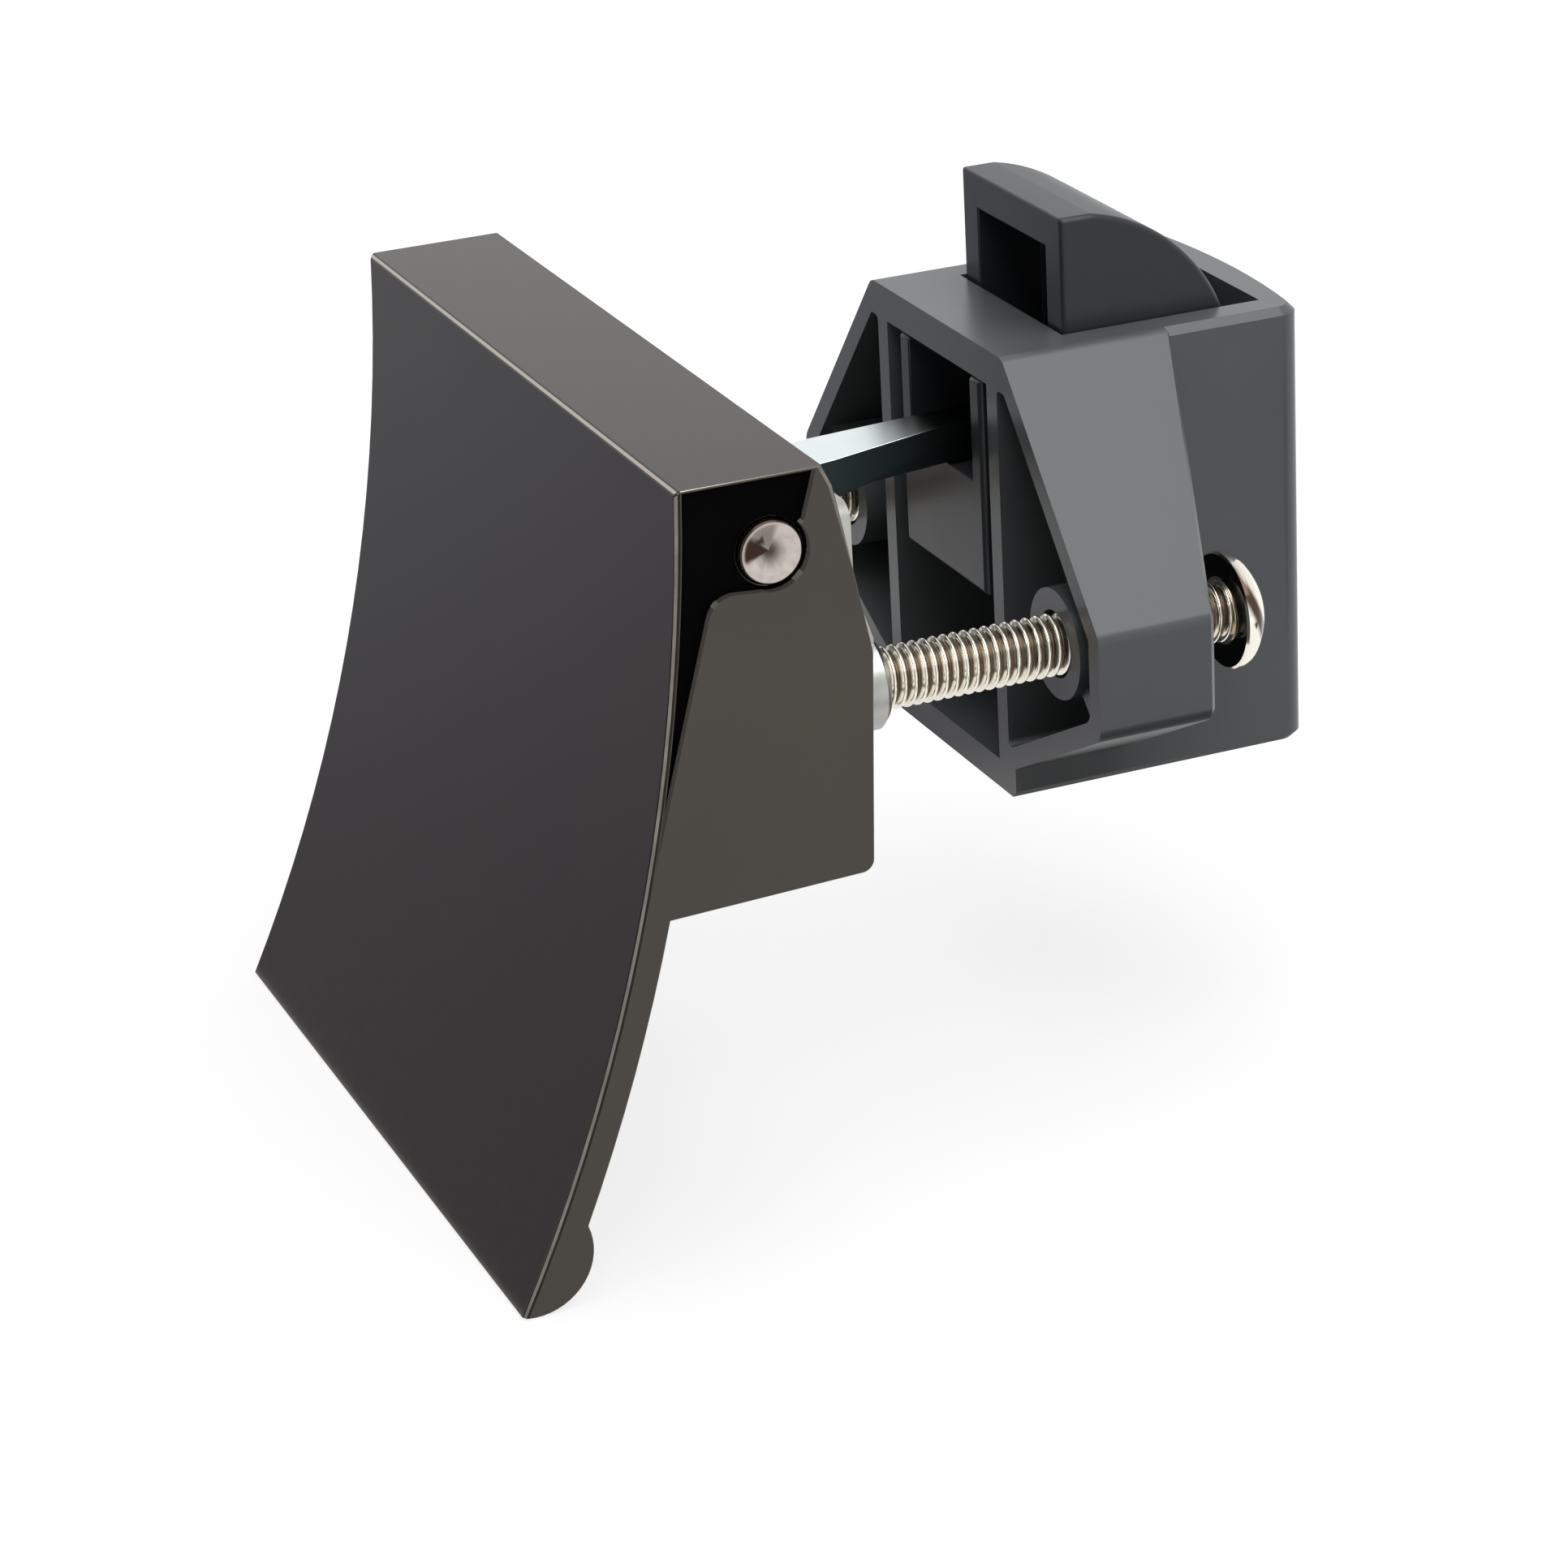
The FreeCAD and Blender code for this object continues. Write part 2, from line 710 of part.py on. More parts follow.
def bolt_profile():
    """Side view of the bolt behind its front wall, with the wedge crest as an arc."""
    wedge_start = V(0, bolt_face_y + wedge_flat, bolt_top_z)
    wedge_end = V(0, bolt_back_y - bolt_tail_depth, bolt_shoulder_z + wedge_foot_rise)
    chord = wedge_end - wedge_start
    bulge = V(0, -chord.z, chord.y)
    bulge.normalize()
    crest = (wedge_start + wedge_end) * 0.5 + bulge * wedge_sagitta
    tail_z = bolt_shoulder_z - bolt_tail_drop
    corners = [
        V(0, wedge_end.y, tail_z), V(0, bolt_back_y, tail_z), V(0, bolt_back_y, bolt_bottom_z),
        V(0, bolt_face_y, bolt_bottom_z), V(0, bolt_face_y, bolt_top_z),
    ]
    edges = [Part.Arc(wedge_start, crest, wedge_end).toShape()]
    path = [wedge_end] + corners + [wedge_start]
    for a, b in zip(path, path[1:]):
        edges.append(Part.LineSegment(a, b).toShape())
    return Part.Face(Part.Wire(edges))


def latch_bolt():
    half = bolt_width / 2
    wedge = bolt_profile()
    wedge.translate(V(-half, 0, 0))
    wedge = wedge.extrude(V(bolt_width, 0, 0))
    crest_y = bolt_face_y + wedge_flat
    foot_y = bolt_back_y - bolt_tail_depth
    foot_z = bolt_shoulder_z + wedge_foot_rise
    ends = edges_on(wedge, lambda p: abs(p.y - crest_y) < 0.01 and abs(p.z - bolt_top_z) < 0.01)
    ends += edges_on(wedge, lambda p: abs(p.y - foot_y) < 0.01 and abs(p.z - foot_z) < 0.01)
    wedge = wedge.makeFillet(wedge_blend, ends)
    sides = edges_on(wedge, lambda p: abs(abs(p.x) - half) < 0.01 and p.y < foot_y + 0.01)
    sides = [edge for edge in sides if edge.CenterOfMass.z > bolt_bottom_z + 0.01]
    wedge = wedge.makeChamfer(bolt_edge_chamfer, sides)
    front_half = bolt_front_width / 2
    front = block(-front_half, front_half, bolt_front_y, bolt_face_y + 1, bolt_bottom_z, bolt_shoulder_z)
    front = front.makeChamfer(bolt_edge_chamfer, edges_on(front, lambda p: abs(p.y - bolt_front_y) < 0.01))
    solid = joined([wedge, front])
    front_window = window_front_width / 2
    inner_window = window_width / 2
    solid = solid.cut(block(-front_window, front_window, bolt_front_y - 1, window_back_y,
                            window_floor_z, bolt_shoulder_z + 1))
    solid = solid.cut(block(-inner_window, inner_window, bolt_face_y - 1, window_back_y,
                            bolt_shoulder_z, window_top_z))
    solid = solid.cut(block(-inner_window, inner_window, bolt_face_y, window_back_y,
                            window_floor_z, window_top_z))
    bore = spring_diameter / 2 + spring_bore_gap
    return solid.cut(Part.makeCylinder(bore, spring_top_z - bolt_bottom_z + 1, V(0, spring_y, bolt_bottom_z - 1)))


def wire_ring(turn, height):
    """Cross section of the spring's wire, a polygon, after a part of a turn and at a height."""
    angle = 2 * math.pi * turn
    outward = V(math.cos(angle), math.sin(angle), 0)
    radius = (spring_diameter - spring_wire) / 2
    centre = V(0, spring_y, height) + outward * radius
    corner_radius = spring_wire / 2 / math.cos(math.pi / spring_sides)
    points = []
    for i in range(spring_sides):
        lean = 2 * math.pi * (i + 0.5) / spring_sides
        points.append(centre + outward * (corner_radius * math.cos(lean)) + V(0, 0, corner_radius * math.sin(lean)))
    return Part.makePolygon(points + points[:1])


def bolt_spring():
    """Compression spring between the case's floor and the bolt's bore, its ends ground flat."""
    height = spring_top_z - cavity_bottom_z
    pitch = height / spring_turns
    rings = []
    for i in range(-spring_steps // 2, int(spring_turns * spring_steps) + spring_steps // 2 + 1):
        turn = i / spring_steps
        rings.append(wire_ring(turn, cavity_bottom_z + turn * pitch))
    coil = Part.makeLoft(rings, True, True)
    room = block(-spring_diameter, spring_diameter, spring_y - spring_diameter, spring_y + spring_diameter,
                 cavity_bottom_z, spring_top_z)
    return coil.common(room)


def cross_drive(y):
    """Cross recess sunk into a head from its rear end."""
    half = drive_span / 2
    start = y - drive_depth
    arm = drive_width / 2
    bars = [
        block(screw_x - half, screw_x + half, start, y + 1, -arm, arm),
        block(screw_x - arm, screw_x + arm, start, y + 1, -half, half),
    ]
    return joined(bars)


def mounting_screw():
    """Right fixing screw: pan head with a cross recess, shank at its crest diameter."""
    shank = rod_y(screw_radius, screw_tip_y, screw_head_y + head_edge / 2, screw_x, 0)
    shank = shank.makeChamfer(screw_tip_chamfer, edges_on(shank, lambda p: p.y < screw_tip_y + 0.01))
    profile = [
        V(0, screw_head_y, 0),
        V(head_diameter / 2, screw_head_y, 0),
        V(head_diameter / 2, screw_head_y + head_edge, 0),
        V(head_crown_diameter / 2, screw_head_y + head_height, 0),
        V(0, screw_head_y + head_height, 0),
    ]
    head = Part.Face(Part.makePolygon(profile + profile[:1])).revolve(V(0, 0, 0), V(0, 1, 0), 360)
    head.translate(V(screw_x, 0, 0))
    return joined([shank, head]).cut(cross_drive(screw_head_y + head_height))


def parts():
    screw = mounting_screw()
    return {
        "handle": handle(),
        "handle_base": handle_base(),
        "pivot_pin": pivot_pin(),
        "actuator_lever": actuator_lever(),
        "lever_rivet": lever_rivet(),
        "lock_body": lock_body(),
        "latch_bolt": latch_bolt(),
        "bolt_spring": bolt_spring(),
        "mounting_screw_right": screw,
        "mounting_screw_left": mirrored(screw),
    }


os.makedirs("parts", exist_ok=True)
for name, shape in parts().items():
    solids = shape.Solids
    if len(solids) != 1 or not solids[0].isValid():
        raise ValueError("%s has %d solids" % (name, len(solids)))
    solids[0].exportStep("parts/%s.step" % name)
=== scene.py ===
"""Looks of the pull-handle cabinet latch: finishes, threads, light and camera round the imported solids."""

import math

import bmesh
import bpy
from mathutils import Matrix, Vector


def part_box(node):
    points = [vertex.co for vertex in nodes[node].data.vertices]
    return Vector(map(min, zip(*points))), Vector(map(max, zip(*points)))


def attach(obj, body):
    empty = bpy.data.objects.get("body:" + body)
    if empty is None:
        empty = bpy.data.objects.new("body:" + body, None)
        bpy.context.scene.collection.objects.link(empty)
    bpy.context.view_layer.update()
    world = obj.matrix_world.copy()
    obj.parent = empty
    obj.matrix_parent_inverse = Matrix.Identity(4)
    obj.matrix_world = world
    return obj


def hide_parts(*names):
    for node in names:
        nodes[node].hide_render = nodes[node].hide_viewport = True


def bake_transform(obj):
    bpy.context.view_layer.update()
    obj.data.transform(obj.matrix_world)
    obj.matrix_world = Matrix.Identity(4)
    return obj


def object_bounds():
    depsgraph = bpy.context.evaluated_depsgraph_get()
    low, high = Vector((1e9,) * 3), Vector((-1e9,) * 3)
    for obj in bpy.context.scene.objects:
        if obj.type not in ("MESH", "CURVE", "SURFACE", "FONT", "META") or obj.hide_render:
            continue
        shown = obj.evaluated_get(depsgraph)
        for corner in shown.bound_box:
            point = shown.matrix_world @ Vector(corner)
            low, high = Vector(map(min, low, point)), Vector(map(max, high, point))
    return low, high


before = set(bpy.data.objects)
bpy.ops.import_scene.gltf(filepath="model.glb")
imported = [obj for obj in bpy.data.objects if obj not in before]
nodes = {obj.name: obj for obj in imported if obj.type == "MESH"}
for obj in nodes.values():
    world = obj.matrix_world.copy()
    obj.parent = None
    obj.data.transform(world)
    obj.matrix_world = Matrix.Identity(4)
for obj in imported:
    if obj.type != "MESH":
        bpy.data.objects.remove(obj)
cad_low, cad_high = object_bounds()

MM = 0.001
MARK_DEPTH_MM = 0.02
# Sockets of the Mix node, which repeats the same names for each kind of value.
FLOAT_A, FLOAT_B = 2, 3
MIX_A, MIX_B, MIXED = 6, 7, 2


# Helpers.
def tint(code):
    """An sRGB hex colour as linear RGBA."""
    channels = [int(code[i:i + 2], 16) / 255 for i in (1, 3, 5)]
    linear = [c / 12.92 if c <= 0.04045 else ((c + 0.055) / 1.055) ** 2.4 for c in channels]
    return (*linear, 1.0)


def add(tree, kind, settings=None, inputs=None, links=None):
    """One node with its settings, its input values and its links, given as input: (node, output)."""
    node = tree.nodes.new(kind)
    for name, value in (settings or {}).items():
        setattr(node, name, value)
    for name, value in (inputs or {}).items():
        node.inputs[name].default_value = value
    for name, (source, output) in (links or {}).items():
        tree.links.new(source.outputs[output], node.inputs[name])
    return node


def new_material(name, shader_inputs):
    """A material with a Principled shader and Object coordinates to build its patterns on."""
    material = bpy.data.materials.new(name)
    material.use_nodes = True
    tree = material.node_tree
    tree.nodes.clear()
    place = add(tree, "ShaderNodeTexCoord")
    shader = add(tree, "ShaderNodeBsdfPrincipled", inputs=shader_inputs)
    add(tree, "ShaderNodeOutputMaterial", links={"Surface": (shader, "BSDF")})
    return material, tree, place, shader


def per_mm(size):
    """Texture scale that gives one pattern cell for each size, in millimetres."""
    return 1 / (size * MM)


def drifting_colour(tree, place, size_mm, detail, first, second):
    """A colour that drifts from one code to another in clouds of a size."""
    cloud = add(tree, "ShaderNodeTexNoise", inputs={"Scale": per_mm(size_mm), "Detail": detail},
                links={"Vector": (place, "Object")})
    return add(tree, "ShaderNodeMix", {"data_type": "RGBA"}, {MIX_A: tint(first), MIX_B: tint(second)},
               {0: (cloud, "Fac")})


def fine_marks(tree, place, shader, size_mm, strength, depth_mm=MARK_DEPTH_MM):
    """Marks too fine to see one by one, which break up the surface's reflections."""
    grain = add(tree, "ShaderNodeTexNoise", inputs={"Scale": per_mm(size_mm), "Detail": 2.0},
                links={"Vector": (place, "Object")})
    bump = add(tree, "ShaderNodeBump", inputs={"Strength": strength, "Distance": depth_mm * MM},
               links={"Height": (grain, "Fac")})
    tree.links.new(bump.outputs["Normal"], shader.inputs["Normal"])


def rays_that_show(tree, mirrored=None):
    """1 for rays that bring a picture to the camera, straight, mirrored or through glass, and 0 for others.

    Mirrored rays can be given a level of their own, as (node, output)."""
    ray = add(tree, "ShaderNodeLightPath")
    glossy = ray, "Is Glossy Ray"
    if mirrored:
        glossy = add(tree, "ShaderNodeMath", {"operation": "MULTIPLY"}, links={0: glossy, 1: mirrored}), 0
    seen = add(tree, "ShaderNodeMath", {"operation": "MAXIMUM"},
               links={0: (ray, "Is Camera Ray"), 1: glossy})
    return add(tree, "ShaderNodeMath", {"operation": "MAXIMUM"},
               links={0: (seen, 0), 1: (ray, "Is Transmission Ray")})


def paint(node_name, material):
    """Give a CAD node one material."""
    mesh = nodes[node_name].data
    mesh.materials.clear()
    mesh.materials.append(material)


def new_object(name, data):
    """An object at the origin, in the scene."""
    made = bpy.data.objects.new(name, data)
    bpy.context.scene.collection.objects.link(made)
    return made


# Finishes.
def facing_sideways(tree, place, least):
    """1 where the surface faces left or right more squarely than least, the cosine, and 0 elsewhere."""
    normal = add(tree, "ShaderNodeSeparateXYZ", links={"Vector": (place, "Normal")})
    sideways = add(tree, "ShaderNodeMath", {"operation": "ABSOLUTE"}, links={0: (normal, "X")})
    return add(tree, "ShaderNodeMath", {"operation": "GREATER_THAN"}, {1: least}, {0: (sideways, 0)})


def black_plating():
    """Die-cast zinc with black nickel plating: a dark mirror that greys at a glance, with a faint warm cast.

    The floor of the recess in each end face is dull, and is painted near-black as shade."""
    recess_floor_x = 27.4 * MM
    band = 0.08 * MM
    cloud_mm = 18
    peel_mm = 0.9
    material, tree, place, shader = new_material("black_nickel_plating", {
        "Metallic": 1.0, "Specular Tint": (0.85, 0.85, 0.85, 1)})
    plated = drifting_colour(tree, place, cloud_mm, 2.0, "#474441", "#4e4a44")
    peel = add(tree, "ShaderNodeTexNoise", inputs={"Scale": per_mm(peel_mm), "Detail": 1.0},
               links={"Vector": (place, "Object")})
    haze = add(tree, "ShaderNodeMapRange", inputs={"To Min": 0.12, "To Max": 0.2},
               links={"Value": (peel, "Fac")})
    bump = add(tree, "ShaderNodeBump", inputs={"Strength": 0.05, "Distance": MARK_DEPTH_MM * MM},
               links={"Height": (peel, "Fac")})
    spot = add(tree, "ShaderNodeSeparateXYZ", links={"Vector": (place, "Object")})
    out = add(tree, "ShaderNodeMath", {"operation": "ABSOLUTE"}, links={0: (spot, "X")})
    deep = add(tree, "ShaderNodeMath", {"operation": "COMPARE"}, {1: recess_floor_x, 2: band},
               {0: (out, 0)})
    sideways = facing_sideways(tree, place, least=0.9)
    recess_shade = add(tree, "ShaderNodeMath", {"operation": "MULTIPLY"},
                   links={0: (deep, 0), 1: (sideways, 0)})
    # Painted shade: the recess floor is coloured near-black.
    colour = add(tree, "ShaderNodeMix", {"data_type": "RGBA"}, {MIX_B: tint("#0b0b0b")},
                 {0: (recess_shade, 0), MIX_A: (plated, MIXED)})
    dull = add(tree, "ShaderNodeMix", {"data_type": "FLOAT"}, {FLOAT_B: 0.75},
               {0: (recess_shade, 0), FLOAT_A: (haze, "Result")})
    tree.links.new(colour.outputs[MIXED], shader.inputs["Base Color"])
    tree.links.new(dull.outputs[0], shader.inputs["Roughness"])
    tree.links.new(bump.outputs["Normal"], shader.inputs["Normal"])
    return material


def dark_edge_reflection_plating():
    """Black nickel plating on the eased strips on each side of the rim's chamfer, painted dark there as a
    dark reflection line.
    """
    material, tree, place, shader = new_material("black_nickel_dark_edge_reflection", {
        "Metallic": 1.0, "Roughness": 0.3, "Specular Tint": (0.6, 0.6, 0.6, 1)})
    cloud_mm = 2.2
    # Painted dark reflection: near-black clouds on the eased strips.
    colour = drifting_colour(tree, place, cloud_mm, 2.0, "#1f1e1c", "#34322f")
    tree.links.new(colour.outputs[MIXED], shader.inputs["Base Color"])
    return material


def edge_highlight_plating():
    """The same plating along the casting's eased edges, painted brighter as a highlight line.

    The highlight is painted brightest on the upward and forward facing edges at the front of the top flange."""
    front_y = -11.9 * MM
    fade = 6.0 * MM
    flange_low_z = 17.0 * MM
    highlight_cloud_mm = 1.6
    material, tree, place, shader = new_material("nickel_edge_highlight", {"Metallic": 1.0, "Roughness": 0.25})
    # Painted highlight: the edges are coloured much lighter than the plating.
    side = drifting_colour(tree, place, highlight_cloud_mm, 3.0, "#605c56", "#8c8880")
    normal = add(tree, "ShaderNodeSeparateXYZ", links={"Vector": (place, "Normal")})
    upper = add(tree, "ShaderNodeMapRange", inputs={"From Min": 0.3, "From Max": 0.6},
                links={"Value": (normal, "Z")})
    spot = add(tree, "ShaderNodeSeparateXYZ", links={"Vector": (place, "Object")})
    front = add(tree, "ShaderNodeMapRange", inputs={"From Min": front_y + fade, "From Max": front_y},
                links={"Value": (spot, "Y")})
    high = add(tree, "ShaderNodeMath", {"operation": "GREATER_THAN"}, {1: flange_low_z}, {0: (spot, "Z")})
    flange_highlight = add(tree, "ShaderNodeMath", {"operation": "MULTIPLY"},
                 links={0: (upper, "Result"), 1: (front, "Result")})
    flange_highlight = add(tree, "ShaderNodeMath", {"operation": "MULTIPLY"}, links={0: (flange_highlight, 0), 1: (high, 0)})
    # Painted highlight on the flange's upper front edges, where the light falls.
    colour = add(tree, "ShaderNodeMix", {"data_type": "RGBA"}, {MIX_B: tint("#b3aea6")},
                 {0: (flange_highlight, 0), MIX_A: (side, MIXED)})
    tree.links.new(colour.outputs[MIXED], shader.inputs["Base Color"])
    return material


def moulded_grey(name, light, dark, roughness, gloss):
    """Injection-moulded plastic: satin grey with a fine spark-eroded grain and faint flow clouds.

    The faces that look down are the mould's coarser side, and hardly shine."""
    cloud_mm = 7
    grain_mm = 0.25
    dull_gloss = 0.04
    roughness_drift = 0.05
    material, tree, place, shader = new_material(name, {})
    normal = add(tree, "ShaderNodeSeparateXYZ", links={"Vector": (place, "Normal")})
    shine = add(tree, "ShaderNodeMapRange",
                inputs={"From Min": -0.3, "From Max": -0.1, "To Min": dull_gloss, "To Max": gloss},
                links={"Value": (normal, "Z")})
    tree.links.new(shine.outputs["Result"], shader.inputs["Specular IOR Level"])
    cloud = add(tree, "ShaderNodeTexNoise", inputs={"Scale": per_mm(cloud_mm), "Detail": 3.0},
                links={"Vector": (place, "Object")})
    colour = add(tree, "ShaderNodeMix", {"data_type": "RGBA"}, {MIX_A: tint(dark), MIX_B: tint(light)},
                 {0: (cloud, "Fac")})
    tree.links.new(colour.outputs[MIXED], shader.inputs["Base Color"])
    rough = add(tree, "ShaderNodeMapRange",
                inputs={"To Min": roughness - roughness_drift, "To Max": roughness + roughness_drift},
                links={"Value": (cloud, "Fac")})
    tree.links.new(rough.outputs["Result"], shader.inputs["Roughness"])
    fine_marks(tree, place, shader, grain_mm, strength=0.12, depth_mm=0.01)
    return material


def bright_metal(name, light, dark, roughness, grain_mm, strength):
    """A bright metal part: its tone drifts a little and fine marks break up its reflections."""
    cloud_mm = 2.5
    material, tree, place, shader = new_material(name, {"Metallic": 1.0, "Roughness": roughness})
    colour = drifting_colour(tree, place, cloud_mm, 3.0, dark, light)
    tree.links.new(colour.outputs[MIXED], shader.inputs["Base Color"])
    fine_marks(tree, place, shader, grain_mm, strength)
    return material


def punched_steel():
    """Zinc-plated steel punched from sheet: the faces stay bright, the sheared sides are rougher and painted
    dark as shade.

    Towards where the lever enters the case, it is painted dark as the case's shadow."""
    shadow_start_y = 13.0 * MM
    shadow_full_y = 16.6 * MM
    cloud_mm = 3
    grain_mm = 0.4
    material, tree, place, shader = new_material("zinc_plated_steel", {"Metallic": 1.0})
    bright = drifting_colour(tree, place, cloud_mm, 3.0, "#e4eeee", "#f3faf9")
    sheared_shaded_side = facing_sideways(tree, place, least=0.8)
    # Painted shade: the sides are coloured dark.
    steel = add(tree, "ShaderNodeMix", {"data_type": "RGBA"}, {MIX_B: tint("#3b4546")},
                {0: (sheared_shaded_side, 0), MIX_A: (bright, MIXED)})
    spot = add(tree, "ShaderNodeSeparateXYZ", links={"Vector": (place, "Object")})
    # Painted shadow of the case, darkening the lever towards the slot.
    case_shadow = add(tree, "ShaderNodeMapRange", {"interpolation_type": "SMOOTHSTEP"},
               {"From Min": shadow_start_y, "From Max": shadow_full_y}, {"Value": (spot, "Y")})
    colour = add(tree, "ShaderNodeMix", {"data_type": "RGBA"}, {MIX_B: tint("#2c3433")},
                 {0: (case_shadow, "Result"), MIX_A: (steel, MIXED)})
    tree.links.new(colour.outputs[MIXED], shader.inputs["Base Color"])
    rough = add(tree, "ShaderNodeMix", {"data_type": "FLOAT"}, {FLOAT_A: 0.3, FLOAT_B: 0.45},
                {0: (sheared_shaded_side, 0)})
    tree.links.new(rough.outputs[0], shader.inputs["Roughness"])
    fine_marks(tree, place, shader, grain_mm, strength=0.08)
    return material


def turned_steel():
    """Turned stainless steel: fine rings from the tool on the end face; the drilled centre is painted dark
    at its apex as shade.

    A painted reflection lies in two wedges on the centre's front side, and the chamfer round the end is
    painted dark as shade."""
    core, dimple_rim = 0.1 * MM, 1.2 * MM
    wedge_end, wedge_full = 1.85 * MM, 1.6 * MM
    chamfer_start, chamfer_full = 1.8 * MM, 1.88 * MM
    ring_pitch_mm = 0.12
    cloud_mm = 0.5
    low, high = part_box("pivot_pin")
    centre_y = (low.y + high.y) / 2
    centre_z = (low.z + high.z) / 2
    material, tree, place, shader = new_material("turned_stainless_steel", {
        "Metallic": 1.0, "Roughness": 0.2})
    spot = add(tree, "ShaderNodeVectorMath", {"operation": "SUBTRACT"}, {1: (0, centre_y, centre_z)},
               {0: (place, "Object")})
    axes = add(tree, "ShaderNodeSeparateXYZ", links={"Vector": (spot, 0)})
    flat = add(tree, "ShaderNodeCombineXYZ", links={"X": (axes, "Y"), "Y": (axes, "Z")})
    radius = add(tree, "ShaderNodeVectorMath", {"operation": "LENGTH"}, links={0: (flat, 0)})
    steel = drifting_colour(tree, place, cloud_mm, 3.0, "#a89d98", "#d0c6c1")
    # Painted shade, darkest at the apex of the drilled centre.
    apex_shade_fade = add(tree, "ShaderNodeMapRange", {"interpolation_type": "SMOOTHSTEP"},
                {"From Min": core, "From Max": dimple_rim}, {"Value": (radius, "Value")})
    shaded_steel = add(tree, "ShaderNodeMix", {"data_type": "RGBA"}, {MIX_A: tint("#4c423b")},
                {0: (apex_shade_fade, "Result"), MIX_B: (steel, MIXED)})
    inside = add(tree, "ShaderNodeMapRange", {"interpolation_type": "SMOOTHSTEP"},
                 {"From Min": wedge_end, "From Max": wedge_full}, {"Value": (radius, "Value")})
    heading = add(tree, "ShaderNodeVectorMath", {"operation": "NORMALIZE"}, links={0: (flat, 0)})
    # Painted reflection in two wedges on the centre's front side.
    for direction, least, full, code in (((-0.5, 0.87, 0), 0.6, 0.85, "#857b76"),
                                         ((-0.97, 0.24, 0), 0.82, 0.95, "#3a2b25")):
        side = add(tree, "ShaderNodeVectorMath", {"operation": "DOT_PRODUCT"}, {1: direction},
                   {0: (heading, 0)})
        wedge = add(tree, "ShaderNodeMapRange", {"interpolation_type": "SMOOTHSTEP"},
                    {"From Min": least, "From Max": full}, {"Value": (side, "Value")})
        painted_reflection = add(tree, "ShaderNodeMath", {"operation": "MULTIPLY"},
                   links={0: (wedge, "Result"), 1: (inside, "Result")})
        shaded_steel = add(tree, "ShaderNodeMix", {"data_type": "RGBA"}, {MIX_B: tint(code)},
                    {0: (painted_reflection, 0), MIX_A: (shaded_steel, MIXED)})
    # Painted shade on the chamfer round the end.
    edge = add(tree, "ShaderNodeMapRange", {"interpolation_type": "SMOOTHSTEP"},
               {"From Min": chamfer_start, "From Max": chamfer_full}, {"Value": (radius, "Value")})
    colour = add(tree, "ShaderNodeMix", {"data_type": "RGBA"}, {MIX_B: tint("#39302b")},
                 {0: (edge, "Result"), MIX_A: (shaded_steel, MIXED)})
    tree.links.new(colour.outputs[MIXED], shader.inputs["Base Color"])
    rings = add(tree, "ShaderNodeMath", {"operation": "MULTIPLY"},
                {1: 2 * math.pi * per_mm(ring_pitch_mm)}, {0: (radius, "Value")})
    wave = add(tree, "ShaderNodeMath", {"operation": "SINE"}, links={0: (rings, 0)})
    bump = add(tree, "ShaderNodeBump", inputs={"Strength": 0.12, "Distance": 0.004 * MM},
               links={"Height": (wave, 0)})
    tree.links.new(bump.outputs["Normal"], shader.inputs["Normal"])
    return material


